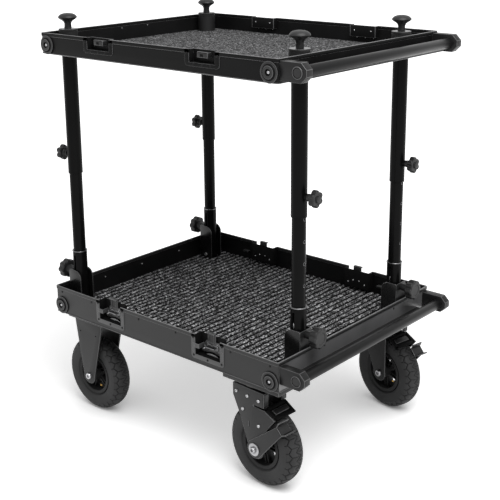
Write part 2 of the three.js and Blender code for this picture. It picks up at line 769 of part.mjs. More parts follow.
for (const [name, side] of [['near', -1], ['far', 1]]) {
  const y = side < 0 ? fixedWheelInset : trayWidth - fixedWheelInset;
  const at = [fixedAxleFromEnd, y, axleHeight];
  const outerSide = (shape) => (side > 0 ? flipped(shape, 'y') : shape);
  place(`fixed_fork_${name}`, fixedFork(), blackSteel(), at);
  place(`fixed_tyre_${name}`, tyre(), rubber(), at);
  place(`fixed_rim_${name}`, wheelRim(), rimPlastic(), at);
  place(`fixed_axle_${name}`, outerSide(axleBolt(0)), zinc(), at);
}

// The swivel fork, built about its axle: folded cheeks, front flanges and a slotted guard over the tread
function swivelFork() {
  const r = casterForkEndRadius;
  const [back, front] = [-casterCrownHalf - casterTrail, casterCrownHalf - casterTrail];
  const flangeFoot = casterCrownTop - casterFlangeDrop;
  const [tipX, tipZ] = [front + guardReach, flangeFoot - guardDrop];
  const cheek = [
    [back, casterCrownTop], [back, casterCrownTop - cheekShoulderDrop], [-cheekWaistBack, cheekWaistRise],
    ...arc([0, 0], r, 180 - casterForkLeanAngle, 360 + casterForkLeanAngle, forkEndSteps),
    [cheekNotchForward, cheekNotchRise], [tipX, tipZ], [front, flangeFoot], [front, casterCrownTop],
  ];
  const inner = forkInnerWidth / 2;
  const cheeks = [sidePlate(cheek, -forkHalfWidth, -inner), sidePlate(cheek, inner, forkHalfWidth)];
  const crownFoot = casterCrownTop - forkSheet;
  const crown = block([back, front], [-forkHalfWidth, forkHalfWidth], [crownFoot, casterCrownTop]);
  const flangeAt = (y0) => block([front - forkSheet, front], [y0, y0 + casterFlangeWidth],
    [flangeFoot, casterCrownTop]);
  const slope = Math.atan2(guardDrop, guardReach);
  const normal = [-Math.sin(slope) * forkSheet, -Math.cos(slope) * forkSheet];
  const guard = sidePlate([
    [front, flangeFoot], [tipX, tipZ], [tipX + normal[0], tipZ + normal[1]],
    [front + normal[0], flangeFoot + normal[1]],
  ], -forkHalfWidth, forkHalfWidth);
  const along = ([a, b]) => [front + a * guardReach, flangeFoot - a * guardDrop + b];
  const under = -forkSheet - overrun;
  const slotAt = (from, to) => sidePlate([
    along([from, overrun]), along([to, overrun]), along([to, under]), along([from, under]),
  ], guardBorder - inner, inner - guardBorder);
  const slotEnd = (1 - guardBarShare) / 2;
  const slots = [slotAt(guardEdgeShare, slotEnd), slotAt(slotEnd + guardBarShare, 1 - guardEdgeShare)];
  const reliefLengthwise = [front - reliefLength, front + gap];
  const reliefUpright = [flangeFoot - reliefHeight, flangeFoot];
  const reliefs = [
    block(reliefLengthwise, [-forkHalfWidth - overrun, -inner], reliefUpright),
    block(reliefLengthwise, [inner, forkHalfWidth + overrun], reliefUpright),
  ];
  const kingpinHole = turningHole('z', kingpinRadius + gap, crownFoot - overrun, casterCrownTop + overrun,
    [-casterTrail, 0]);
  const flanges = [flangeAt(-forkHalfWidth), flangeAt(forkHalfWidth - casterFlangeWidth)];
  const body = cut(joined([...cheeks, crown, ...flanges]), reliefs);
  return cut(body.add(guard), [...slots, kingpinHole, axleHoleThrough()]);
}

// The mount plate with its swivel race, and a kingpin whose nut holds the fork's crown
function swivelMount() {
  const raceTop = lowerFloor - casterPlateThickness;
  const raceFoot = raceTop - swivelRaceHeight;
  const crownFoot = raceFoot - gap - forkSheet;
  const acrossPlate = [-casterPlateHalfWidth, casterPlateHalfWidth];
  return joined([
    block([-casterPlateBack, casterPlateFront], acrossPlate, [raceTop, lowerFloor]),
    rod('z', swivelRaceRadius, raceFoot, raceTop + gap),
    rod('z', kingpinRadius, crownFoot - kingpinNutHeight, raceFoot + gap, [0, 0], smallSides),
    rod('z', kingpinNutRadius, crownFoot - gap - kingpinNutHeight, crownFoot - gap, [0, 0], smallSides),
  ]);
}

// The brake pedal, outside the near cheek: an arm from the axle to a pad with flared lips over the tread
function brakePedal() {
  const outside = -forkHalfWidth - gap - pedalSheet;
  const padRadius = wheelRadius + pedalTreadClearance;
  const at = (radius, degrees) => arc([0, 0], radius, degrees, degrees, 1)[0];
  const far = padRadius + pedalSheet;
  const [low, high] = [at(far, pedalPadLowAngle), at(far, pedalPadHighAngle)];
  const middleAngle = (pedalPadLowAngle + pedalPadHighAngle) / 2;
  const hub = arc([0, 0], pedalHubRadius, middleAngle + 90, middleAngle + 270, smallSides);
  const armPlate = sidePlate([low, high, ...hub], outside, outside + pedalSheet);
  const pad = sidePlate([
    at(padRadius, pedalPadLowAngle), low, high, at(padRadius, pedalPadHighAngle),
  ], outside, outside + pedalPadWidth);
  const lip = (edge, flare) => {
    const inner = at(padRadius, edge);
    const innerOn = at(padRadius, edge - flare);
    const outerOn = at(far + pedalLipHeight, edge - flare / 2 + flare);
    const outer = at(far + pedalLipHeight, edge + flare / 2 + flare);
    return sidePlate([innerOn, inner, outer, outerOn], outside, outside + pedalPadWidth);
  };
  const hole = turningHole('y', axleRadius + gap, outside - overrun, outside + pedalSheet + overrun);
  const lips = [lip(pedalPadHighAngle, pedalLipFlare), lip(pedalPadLowAngle, -pedalLipFlare)];
  return joined([armPlate, pad, ...lips]).subtract(hole);
}

function casterAxle() {
  const stack = pedalSheet + gap + pedalWasherSheet;
  const washerStart = -forkHalfWidth - gap - pedalSheet - gap - pedalWasherSheet;
  const washer = rod('y', pedalWasherRadius, washerStart - gap, washerStart + pedalWasherSheet);
  return axleBolt(stack).add(washer);
}

for (const [name, side, yaw] of [['near', -1, casterYawNear], ['far', 1, casterYawFar]]) {
  const y = side < 0 ? casterInset : trayWidth - casterInset;
  const outerSide = (shape) => (side > 0 ? flipped(shape, 'y') : shape);
  const swivel = new THREE.Group();
  swivel.position.set(trayLength - casterFromEnd, y, 0);
  swivel.rotation.z = THREE.MathUtils.degToRad(yaw);
  cart.add(swivel);
  const at = [casterTrail, 0, axleHeight];
  place(`caster_mount_${name}`, swivelMount(), blackSteel(), [trayLength - casterFromEnd, y, 0]);
  place(`caster_fork_${name}`, swivelFork(), blackSteel(), at, swivel);
  place(`caster_tyre_${name}`, tyre(), rubber(), at, swivel);
  place(`caster_rim_${name}`, wheelRim(), rimPlastic(), at, swivel);
  place(`caster_axle_${name}`, outerSide(casterAxle()), zinc(), at, swivel);
  place(`brake_pedal_${name}`, outerSide(brakePedal()), blackSteel(), at, swivel);
}

export default cart;
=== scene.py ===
# %% [markdown]
# A camera cart: two carpeted trays on four telescoping posts, with fixed wheels at one end and braked
# swivel casters at the other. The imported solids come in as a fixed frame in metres, with +Z up and +X
# towards the push bars. The large pieces take their places and sizes from that frame, and the small
# ones are measured from them in millimetres, as the photograph shows them.

# %% Load the frame
import json
from math import atan2, copysign, cos, pi, radians, sin

import bmesh
import bpy
from mathutils import Matrix, Vector


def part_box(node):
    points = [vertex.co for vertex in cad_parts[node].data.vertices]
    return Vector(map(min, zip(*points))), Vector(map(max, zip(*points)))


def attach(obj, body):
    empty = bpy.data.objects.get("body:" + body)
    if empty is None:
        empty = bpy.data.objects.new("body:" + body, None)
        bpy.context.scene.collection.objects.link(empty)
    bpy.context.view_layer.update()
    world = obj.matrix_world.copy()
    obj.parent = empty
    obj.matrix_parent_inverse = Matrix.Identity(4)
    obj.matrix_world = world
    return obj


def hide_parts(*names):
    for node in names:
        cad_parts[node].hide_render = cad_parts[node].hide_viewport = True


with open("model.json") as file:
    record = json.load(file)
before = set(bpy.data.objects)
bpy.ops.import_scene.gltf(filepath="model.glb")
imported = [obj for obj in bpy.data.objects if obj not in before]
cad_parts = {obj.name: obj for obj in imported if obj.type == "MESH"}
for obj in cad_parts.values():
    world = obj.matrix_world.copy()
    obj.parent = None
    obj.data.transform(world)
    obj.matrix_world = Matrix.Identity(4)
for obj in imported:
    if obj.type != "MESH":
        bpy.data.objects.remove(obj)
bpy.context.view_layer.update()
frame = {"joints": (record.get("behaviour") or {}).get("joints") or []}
joints = {joint["name"]: joint for joint in frame["joints"]}

# %% [markdown]
# The trays carry everything else, so their ends, sides and floors are read off the solids once and named.
# Their rims follow from the two depths. Reading them keeps the dressed cart where the solids are.

# %% The trays' ends, sides and rims
mm = 0.001
bumper_stand = 5.8 * mm
lower_depth, upper_depth = 75 * mm, 54 * mm

tray_low, tray_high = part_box("lower_tray")
left_end, right_end = tray_low.x, tray_high.x
near_side, far_side = tray_low.y + bumper_stand, tray_high.y - bumper_stand
lower_floor, upper_floor = tray_low.z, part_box("upper_tray")[0].z
lower_rim, upper_rim = lower_floor + lower_depth, upper_floor + upper_depth
tray_length, tray_width = right_end - left_end, far_side - near_side
print(f"tray {tray_length:.3f} x {tray_width:.3f} m, rims at {lower_rim:.3f} and {upper_rim:.3f} m")

# %% [markdown]
# Almost every part of the cart is bent sheet, tube, a turned part or a moulded knob. So a few helpers
# make a block, a plate from its outline, a turned part from its profile, and softened edges. Each gives
# back a bmesh, which lets parts be moved and joined before they become one piece. Sharp edges are the
# quickest way to make a model look false, so each helper takes an edge radius.

# %% Turns that are used again and again
FACE_X = Matrix.Rotation(radians(90), 4, "Y")
FACE_Y = Matrix.Rotation(radians(-90), 4, "X")
FACE_NEAR = FACE_Y.inverted()
FACE_DOWN = Matrix.Rotation(radians(180), 4, "X")
STAND = Matrix.Rotation(radians(90), 4, "X")
TO_RIGHT = Matrix.Rotation(radians(90), 4, "Z")
MIRROR_X = Matrix.Scale(-1, 4, (1, 0, 0))
MIRROR_Y = Matrix.Scale(-1, 4, (0, 1, 0))
print("a turned part faces", [round(v) for v in FACE_NEAR @ Vector((0, 0, 1))], "on the near wall")

# %% Blocks, plates and turned parts
hair_edge, flange_edge, thin_edge, fine_edge = 0.3 * mm, 0.35 * mm, 0.4 * mm, 0.5 * mm
block_edge, plate_edge, bold_edge = 0.6 * mm, 0.7 * mm, 0.8 * mm
soft_steps = 3
weld_distance = 1e-6


def soften(shape, radius, steps=2, angle=30):
    """Rounds every edge turning by more than the angle; the new faces get material 1, a painted highlight."""
    shape.normal_update()
    edges = [e for e in shape.edges if len(e.link_faces) == 2 and e.calc_face_angle() > radians(angle)]
    rounded = bmesh.ops.bevel(
        shape, geom=edges, offset=radius, offset_type="OFFSET", affect="EDGES", segments=steps,
        profile=0.5, material=-1, clamp_overlap=True,
    )
    for face in rounded["faces"]:
        face.material_index = 1
    return shape


def block(low, high, edge=fine_edge, steps=2):
    """A box between two corners."""
    low, high = Vector(low), Vector(high)
    shape = bmesh.new()
    bmesh.ops.create_cube(shape, size=1)
    bmesh.ops.scale(shape, vec=high - low, verts=shape.verts)
    bmesh.ops.translate(shape, vec=(low + high) / 2, verts=shape.verts)
    return soften(shape, edge, steps) if edge else shape


def plate(outline, thickness, edge=fine_edge, steps=2):
    """A flat plate from its outline in X and Y, from Z = 0 up."""
    shape = bmesh.new()
    face = shape.faces.new([shape.verts.new((x, y, 0)) for x, y in outline])
    raised = bmesh.ops.extrude_face_region(shape, geom=[face])["geom"]
    top = [v for v in raised if isinstance(v, bmesh.types.BMVert)]
    bmesh.ops.translate(shape, vec=(0, 0, thickness), verts=top)
    bmesh.ops.recalc_face_normals(shape, faces=shape.faces)
    return soften(shape, edge, steps) if edge else shape


def turned(profile, steps=48, closed=False, edge=0):
    """A profile of (radius, height) points spun about the Z axis."""
    shape = bmesh.new()
    points = [shape.verts.new((radius, 0, height)) for radius, height in profile]
    ends = points[1:] + (points[:1] if closed else [])
    lines = [shape.edges.new(pair) for pair in zip(points, ends)]
    bmesh.ops.spin(
        shape, geom=points + lines, cent=(0, 0, 0), axis=(0, 0, 1), dvec=(0, 0, 0), angle=2 * pi,
        steps=steps, use_merge=True,
    )
    bmesh.ops.remove_doubles(shape, verts=shape.verts, dist=weld_distance)
    bmesh.ops.recalc_face_normals(shape, faces=shape.faces)
    return soften(shape, edge) if edge else shape


# %% Moving and joining parts
def put(shape, place=(0, 0, 0), turn=None):
    """Turns a shape, then moves it, and keeps its faces pointing outwards if the turn mirrors it."""
    matrix = Matrix.Translation(place) @ (turn or Matrix.Identity(4))
    bmesh.ops.transform(shape, matrix=matrix, verts=shape.verts)
    if matrix.determinant() < 0:
        bmesh.ops.reverse_faces(shape, faces=shape.faces)
    return shape


def together(*shapes):
    """Joins shapes into one, and frees them."""
    whole = bmesh.new()
    for shape in shapes:
        part = bpy.data.meshes.new("part")
        shape.to_mesh(part)
        shape.free()
        whole.from_mesh(part)
        bpy.data.meshes.remove(part)
    return whole


# %% Arcs, rods and screws
def arc(centre, radius, start, end, steps=8):
    """Points on an arc, with its angles in degrees."""
    angles = [radians(start + (end - start) * i / steps) for i in range(steps + 1)]
    return [(centre[0] + radius * cos(a), centre[1] + radius * sin(a)) for a in angles]


def rod(radius, start, end, steps=32, edge=thin_edge):
    return turned([(0, start), (radius, start), (radius, end), (0, end)], steps, edge=edge)


screw_sink = 0.2 * mm
screw_profile = [(0, 0.4), (0.45, 0.4), (0.5, 1), (0.85, 1), (1, 0.6)]


def screw_head(radius, height, place, outward):
    """A socket screw that faces outward along Y. Its profile is in shares of its radius and height."""
    head = [(radius * across, height * along) for across, along in screw_profile]
    head += [(radius, -screw_sink), (0, -screw_sink)]
    return put(turned(head, 24), place, FACE_Y if outward > 0 else FACE_NEAR)


# %% [markdown]
# A finished piece has its finish, rides on the body that carries it, and stands for the solids that it
# dresses. One function does all of that, so that no piece is left behind when a joint moves.

# %% Finishing a piece
made = []


def piece(name, shape, finish, body, stands_for=(), sharp=32):
    """The finish is one material, or a list: the main one, the painted highlight on edges, and any others."""
    finishes = finish if isinstance(finish, (list, tuple)) else [finish, highlight_edges.get(finish, finish)]
    mesh = bpy.data.meshes.new(name)
    shape.to_mesh(mesh)
    shape.free()
    for material in finishes:
        mesh.materials.append(material)
    mesh.polygons.foreach_set("use_smooth", [True] * len(mesh.polygons))
    mesh.set_sharp_from_angle(angle=radians(sharp))
    new = bpy.data.objects.new(name, mesh)
    bpy.context.scene.collection.objects.link(new)
    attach(new, body)
    if stands_for:
        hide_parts(*([stands_for] if isinstance(stands_for, str) else stands_for))
    made.append(new)
    return new


def paint(shape, index, chosen=lambda face: True):
    """Gives the chosen faces of a shape the piece's material of that number."""
    for face in shape.faces:
        if chosen(face):
            face.material_index = index
    return shape


def carve(target, *cutters):
    """Cuts closed shapes out of a finished piece with a Boolean modifier, and keeps the result."""
    mesh = bpy.data.meshes.new("cutter")
    cutter_shape = together(*cutters)
    cutter_shape.to_mesh(mesh)
    cutter_shape.free()
    cutter = bpy.data.objects.new("cutter", mesh)
    bpy.context.scene.collection.objects.link(cutter)
    cut = target.modifiers.new("cut", "BOOLEAN")
    cut.object, cut.operation, cut.solver = cutter, "DIFFERENCE", "EXACT"
    ready = target.evaluated_get(bpy.context.evaluated_depsgraph_get())
    old, result = target.data, bpy.data.meshes.new_from_object(ready)
    target.modifiers.remove(cut)
    result.name = old.name
    target.data = result
    bpy.data.meshes.remove(old)
    bpy.data.objects.remove(cutter)
    bpy.data.meshes.remove(mesh)
    return target


# %% [markdown]
# Most of the cart is black, and what tells its blacks apart is how they scatter light. The sheet metal
# has a satin powder coat with a fine grain, the tubes are smoother and reflect long streaks, the knobs
# are moulded with a dull skin, and the tyres are matte with a dusty bloom. A noise drives the colour, a
# finer one the bump, and the roughness varies a little, as it does on every real coat.

# %% A coat with grain
cloud_scale, cloud_detail, grain_detail = 14, 5, 3
tint_low, tint_high = 0.3, 0.7
sheen_swing = 0.05
grain_strength = 0.5


def noise(nodes, links, place, scale, detail):
    cloud = nodes.new("ShaderNodeTexNoise")
    cloud.inputs["Scale"].default_value = scale
    cloud.inputs["Detail"].default_value = detail
    links.new(place, cloud.inputs["Vector"])
    return cloud.outputs["Fac"]


def coat(name, colour, spread, roughness, grain, grain_depth, metallic=0.0, specular=0.5, bloom=0.0):
    """A coloured coat: spread varies its colour, grain is the bump's size in grains per metre."""
    material = bpy.data.materials.new(name)
    material.use_nodes = True
    nodes, links = material.node_tree.nodes, material.node_tree.links
    shader = nodes["Principled BSDF"]
    shader.inputs["Metallic"].default_value = metallic
    shader.inputs["Specular IOR Level"].default_value = specular
    place = nodes.new("ShaderNodeTexCoord").outputs["Object"]
    cloud = noise(nodes, links, place, cloud_scale, cloud_detail)
    tint = nodes.new("ShaderNodeValToRGB")
    darker, lighter = tint.color_ramp.elements
    darker.position, lighter.position = tint_low, tint_high
    darker.color = (*[c * (1 - spread) for c in colour], 1)
    lighter.color = (*[c * (1 + spread) + bloom for c in colour], 1)
    links.new(cloud, tint.inputs["Fac"])
    links.new(tint.outputs["Color"], shader.inputs["Base Color"])
    sheen = nodes.new("ShaderNodeMapRange")
    sheen.inputs["To Min"].default_value = roughness - sheen_swing
    sheen.inputs["To Max"].default_value = roughness + sheen_swing
    links.new(cloud, sheen.inputs["Value"])
    links.new(sheen.outputs["Result"], shader.inputs["Roughness"])
    bump = nodes.new("ShaderNodeBump")
    bump.inputs["Strength"].default_value = grain_strength
    bump.inputs["Distance"].default_value = grain_depth
    links.new(noise(nodes, links, place, grain, grain_detail), bump.inputs["Height"])
    links.new(bump.outputs["Normal"], shader.inputs["Normal"])
    return material


blue_tint = 1.02


def grey(level):
    """A grey that is very slightly cool, as black coats and steel are."""
    return (level, level, level * blue_tint)


# %% Colours and levels that are multiplied or mapped
def multiplied(nodes, links, colour, level):
    """A colour output times a level output."""
    mix = nodes.new("ShaderNodeMix")
    mix.data_type, mix.blend_type = "RGBA", "MULTIPLY"
    mix.inputs["Factor"].default_value = 1.0
    links.new(colour, mix.inputs[6])
    links.new(level, mix.inputs[7])
    return mix.outputs[2]


def spread_out(nodes, links, value, low, high, to_low, to_high):
    """Maps a value's range onto another, held at its ends."""
    level = nodes.new("ShaderNodeMapRange")
    for socket, number in zip(("From Min", "From Max", "To Min", "To Max"), (low, high, to_low, to_high)):
        level.inputs[socket].default_value = number
    links.new(value, level.inputs["Value"])
    return level.outputs["Result"]


def paint_groove_shade(material, attribute, share):
    """Paints shade into a coat, darker where a piece's own attribute says that it lies in a groove."""
    nodes, links = material.node_tree.nodes, material.node_tree.links
    colour = nodes["Principled BSDF"].inputs["Base Color"]
    cut = nodes.new("ShaderNodeAttribute")
    cut.attribute_name = attribute
    shade = spread_out(nodes, links, cut.outputs["Fac"], 0, 1, 1, share)
    links.new(multiplied(nodes, links, colour.links[0].from_socket, shade), colour)
    return material


# %% The black coats of the sheet metal
powder = {"grain": 1400, "grain_depth": 0.12 * mm}
thin_powder = {"grain": 1400, "grain_depth": 0.1 * mm}
smooth_powder = {"grain": 1400, "grain_depth": 0.05 * mm}
tray_coat = coat("satin tray coat", grey(0.01), spread=0.16, roughness=0.44, specular=0.36, **powder)
# The end wall behind the lower push bar is painted lighter and glossier: painted light from that side.
lit_end_wall_coat = coat("end wall coat painted lighter", grey(0.12), spread=0.16, roughness=0.4, specular=1.0, **thin_powder)
# The inside of the pans is painted darker: painted shade.
shaded_inner_coat = coat("inner tray coat painted darker", grey(0.006), spread=0.2, roughness=0.4, specular=0.12, **powder)
# The upper tray's coat is the tray coat painted darker and less glossy: painted shade, as it stands higher
# above the lit floor.
shaded_upper_coat = coat("upper tray coat painted darker", grey(0.006), spread=0.16, roughness=0.46, specular=0.09, **powder)
dish_coat = coat("pressed dish coat", grey(0.04), spread=0.16, roughness=0.42, specular=0.6, **powder)
arm_coat = coat(
    "satin arm coat", grey(0.012), spread=0.16, roughness=0.36, specular=0.2, grain=1400,
    grain_depth=0.08 * mm,
)
bracket_coat = coat(
    "bracket coat", grey(0.007), spread=0.18, roughness=0.24, specular=0.3, grain=1400, grain_depth=0.04 * mm
)
frame_coat = coat(
    "satin frame coat", grey(0.012), spread=0.18, roughness=0.42, specular=0.32, grain=1600,
    grain_depth=0.1 * mm,
)
# A lighter coat for bevelled edges, hem tops and folds: a painted highlight.
highlight_edge_coat = coat("coat edge painted light as a highlight", grey(0.13), spread=0.3, roughness=0.36, specular=0.6, **smooth_powder)
print("coats", len(bpy.data.materials))

# %% Tubes, mouldings and rubber
polished = {"grain": 900, "grain_depth": 0.04 * mm}
moulded = {"grain": 1100, "grain_depth": 0.12 * mm}
small_part = {"grain": 900, "grain_depth": 0.05 * mm}
dull_skin = {"grain": 900, "grain_depth": 0.08 * mm}
bar_coat = coat("brushed black bar", grey(0.008), spread=0.12, roughness=0.3, specular=0.16, **polished)
tube_coat = coat(
    "smooth black tube", grey(0.0035), spread=0.15, roughness=0.26, specular=0.055, grain=700,
    grain_depth=0.02 * mm,
)
knob_skin = coat("moulded black knob", grey(0.015), spread=0.2, roughness=0.44, specular=0.28, **moulded)
bumper_skin = coat("black bumper", grey(0.016), spread=0.2, roughness=0.42, specular=0.35, **dull_skin)
rim_skin = coat(
    "black wheel rim", grey(0.014), spread=0.2, roughness=0.55, specular=0.2, grain=900, grain_depth=0.1 * mm
)
# A near-black coat for recesses, slots, grooves and openings: painted shade.
painted_shade_coat = coat(
    "painted shade in hollows", grey(0.004), spread=0.3, roughness=0.7, specular=0.1, grain=600, grain_depth=0.1 * mm
)
rivet_coat = coat("black rivet", grey(0.005), spread=0.2, roughness=0.4, specular=0.15, **small_part)
# A lighter coat for the edges of knobs, arms and bumpers, for beads and for tab tops: a painted highlight.
soft_highlight_edge = coat(
    "knob edge painted light as a highlight", grey(0.075), spread=0.3, roughness=0.4, specular=0.5, grain=1100,
    grain_depth=0.05 * mm,
)
tyre_rubber = coat(
    "tyre rubber", grey(0.026), spread=0.25, roughness=0.6, specular=0.25, grain=700, grain_depth=0.25 * mm,
    bloom=0.006,
)
groove_shade = 0.12
# The tyre's grooves are darkened: painted shade in the tread.
paint_groove_shade(tyre_rubber, "groove", groove_shade)
print("finishes so far", len(bpy.data.materials))

# %% Bright and dark metals
fine_brushed = {"grain": 1500, "grain_depth": 0.03 * mm, "metallic": 1.0}
handled = {**small_part, "metallic": 1.0}
latch_black = coat("latch plate black", grey(0.045), spread=0.5, roughness=0.4, specular=0.6, **dull_skin)
zinc = coat("bright zinc", grey(0.5), spread=0.1, roughness=0.28, **fine_brushed)
washer_steel = coat("brushed washer steel", grey(0.36), spread=0.12, roughness=0.34, **fine_brushed)
worn_steel = coat("worn steel", grey(0.24), spread=0.25, roughness=0.36, **handled)
ring_steel = coat("dull ring steel", grey(0.16), spread=0.25, roughness=0.34, **handled)
dark_steel = coat("dark latch steel", grey(0.1), spread=0.35, roughness=0.32, **handled)
brass = coat(
    "brass valve", (0.55, 0.34, 0.1), spread=0.1, roughness=0.42, grain=900, grain_depth=0.03 * mm,
    metallic=1.0,
)
# Which lighter coat paints the highlight on the bevelled edges of each coat.
highlight_edges = {
    tray_coat: highlight_edge_coat, shaded_upper_coat: highlight_edge_coat, shaded_inner_coat: highlight_edge_coat, dish_coat: highlight_edge_coat,
    frame_coat: highlight_edge_coat, bar_coat: highlight_edge_coat, arm_coat: soft_highlight_edge, bracket_coat: soft_highlight_edge,
    knob_skin: soft_highlight_edge, bumper_skin: soft_highlight_edge, dark_steel: worn_steel,
}
print("finishes", len(bpy.data.materials), "of which edge", len(set(highlight_edges.values())))

# %% [markdown]
# Each tray is a sheet pan folded up at its four sides. A cube gives the pan: its upright corners and its
# bottom fold are bevelled, then its top face is inset by the sheet's thickness and pushed down. A
# separate ring makes the hem along the rim. The hem's top and the bottom fold are painted light, a
# painted highlight that gives the bright lines along them.

# %% The pan's rounded box
sheet = 2 * mm
hem_stand, hem_height, hem_width, hem_rise = 1.2 * mm, 9 * mm, 3.4 * mm, 0.3 * mm
hem_edge, hem_turn = 0.7 * mm, 50
corner_radius, corner_steps = 5 * mm, 5
fold_radius, fold_steps = 3 * mm, 4
nearly_level, nearly_flat = 1e-5, 0.9


def bevelled(shape, edges, radius, steps):
    """Rounds some edges, and gives back the new faces."""
    return bmesh.ops.bevel(
        shape, geom=edges, offset=radius, offset_type="OFFSET", affect="EDGES", segments=steps, profile=0.5,
        material=-1,
    )["faces"]


def box_with_round_corners(inset, low, high):
    shape = block(
        (left_end + inset, near_side + inset, low), (right_end - inset, far_side - inset, high), edge=0
    )
    upright = [e for e in shape.edges if abs(e.verts[0].co.z - e.verts[1].co.z) > (high - low) / 2]
    bevelled(shape, upright, corner_radius, corner_steps)
    return shape


def faces_at(shape, height, facing):
    """The faces of a shape that lie at a height and face up (1) or down (-1)."""
    return [
        f for f in shape.faces
        if abs(f.calc_center_median().z - height) < nearly_level and f.normal.z * facing > nearly_flat
    ]


def middle_face(shape, height, facing):
    return min(faces_at(shape, height, facing), key=lambda f: f.calc_center_median().xy.length)


trial = box_with_round_corners(hem_stand, lower_floor, lower_rim)
print("a tray's box has", len(trial.faces), "faces")
trial.free()

# %% A folded pan
def pan(floor, rim):
    top = rim - hem_rise
    shape = box_with_round_corners(hem_stand, floor, top)
    shape.normal_update()
    # The bottom fold takes material 1: a painted highlight along the fold.
    for face in bevelled(shape, list(faces_at(shape, floor, -1)[0].edges), fold_radius, fold_steps):
        face.material_index = 1
    shape.normal_update()
    bmesh.ops.inset_region(shape, faces=faces_at(shape, top, 1), thickness=sheet, use_even_offset=True)
    middle = middle_face(shape, top, 1)
    outside = set(shape.faces)
    sunk = bmesh.ops.extrude_face_region(shape, geom=[middle])["geom"]
    bmesh.ops.translate(
        shape, vec=(0, 0, floor + sheet - top), verts=[v for v in sunk if isinstance(v, bmesh.types.BMVert)]
    )
    # The sunk inner faces take material 2: painted shade.
    paint(shape, 2, lambda face: face not in outside)
    # The outer face towards the push bars takes material 3: painted light.
    paint(shape, 3, lambda face: face in outside and face.normal.x > nearly_flat)
    bmesh.ops.delete(shape, geom=[middle], context="FACES_ONLY")
    return shape


# %% A band round a tray
def band(rim, height, width):
    """A ring round the tray's walls, of this height and width, with its top at the rim.
    Its top faces take material 1: a painted highlight.
    """
    shape = box_with_round_corners(0, rim - height, rim)
    shape.normal_update()
    levels = ((rim, 1), (rim - height, -1))
    for level, facing in levels:
        lid = faces_at(shape, level, facing)
        bmesh.ops.inset_region(shape, faces=lid, thickness=width, use_even_offset=True)
        shape.normal_update()
    middles = [middle_face(shape, level, facing) for level, facing in levels]
    loops = [edge for face in middles for edge in face.edges]
    bmesh.ops.delete(shape, geom=middles, context="FACES_ONLY")
    bmesh.ops.bridge_loops(shape, edges=loops)
    bmesh.ops.recalc_face_normals(shape, faces=shape.faces)
    soften(shape, hem_edge, angle=hem_turn)
    shape.normal_update()
    return paint(shape, 1, lambda face: face.normal.z > nearly_flat)


# %% [markdown]
# The hem and the wall are cut away at each latch, where a riveted dish sits in the wall. The openings
# are at the same places in both trays, because the latches of one meet the keepers of the other when the
# cart is folded down. Those of the keepers are less high.

# %% Latch places
latch_spacing = 343 * mm
recess_width, recess_height, recess_depth = 80 * mm, 51 * mm, 20 * mm
keeper_width, keeper_height, keeper_depth = 78 * mm, 29 * mm, 14 * mm
cut_reach = 6 * mm
middle_x = (left_end + right_end) / 2
latch_places = {
    "near_left": (middle_x - latch_spacing / 2, near_side, 1),
    "near_right": (middle_x + latch_spacing / 2, near_side, 1),
    "far_left": (middle_x - latch_spacing / 2, far_side, -1),
    "far_right": (middle_x + latch_spacing / 2, far_side, -1),
}


def wall_openings(rim, width, height):
    return [
        block(
            (x - width / 2, y - cut_reach, rim - height),
            (x + width / 2, y + cut_reach, rim + cut_reach), edge=0,
        )
        for x, y, inward in latch_places.values()
    ]


print("latches at", {name: [round(x, 3), round(y, 3)] for name, (x, y, inward) in latch_places.items()})

# %% [markdown]
# A tray's walls don't all look alike, so the pan's faces are painted by which way they face. The inside
# is dull and painted darker, as painted shade. The lower tray's end wall behind the push bar is painted
# lighter, as painted light from that side. A thin bead runs round the foot of the walls, where the sheet
# is folded, and it is painted light as a highlight.

# %% The pans, their hems and their beads
pans = {
    "lower": (lower_floor, lower_rim, recess_width, recess_height, tray_coat, lit_end_wall_coat, "base"),
    "upper": (upper_floor, upper_rim, keeper_width, keeper_height, shaded_upper_coat, shaded_upper_coat, "upper_deck"),
}
bead_top, bead_height, bead_width = 3.4 * mm, 2 * mm, 2.4 * mm
tray_pans = {}
for word, (floor_level, rim, width, height, outer_coat, bar_end_coat, body) in pans.items():
    tray_pans[word] = piece(
        f"{word}_tray_pan", pan(floor_level, rim), [outer_coat, highlight_edge_coat, shaded_inner_coat, bar_end_coat], body,
        f"{word}_tray",
    )
    carve(tray_pans[word], *wall_openings(rim, width, height))
    hem = piece(f"{word}_tray_hem", band(rim, hem_height, hem_width), outer_coat, body)
    carve(hem, *wall_openings(rim, width, height))
for word, (floor_level, *others, body) in pans.items():
    # The whole bead is painted light: a painted highlight along the foot of the walls.
    bead = band(floor_level + bead_top, bead_height, bead_width)
    piece(f"{word}_tray_bead", bead, soft_highlight_edge, body)
print("pans", {word: len(made_pan.data.polygons) for word, made_pan in tray_pans.items()})

# %% [markdown]
# A latch dish is pressed from one sheet: a flange riveted to the wall round an open-topped box. The
# flange is one U-shaped plate, with pressed ribs up its sides to stiffen it. All parts are made for the
# near wall about the latch's own middle at the rim, and mirrored for the far wall.

# %% Rivets
rivet_radius, rivet_height = 3.1 * mm, 1.1 * mm
rivet_profile = [(0, 0.45), (0.35, 0.45), (0.5, 1), (0.8, 0.75), (1, 0)]


def rivet(radius=rivet_radius, height=rivet_height):
    """A low domed head with a dimple, facing -Y, for the near wall."""
    dome = [(radius * across, height * along) for across, along in rivet_profile]
    return put(turned([*dome, (0, 0)], 16), turn=FACE_NEAR)


def in_mm(*points):
    """Points given in millimetres."""
    return [tuple(number * mm for number in point) for point in points]


def rivets_at(places):
    return together(*[put(rivet(), (x, 0, z)) for x, z in places])


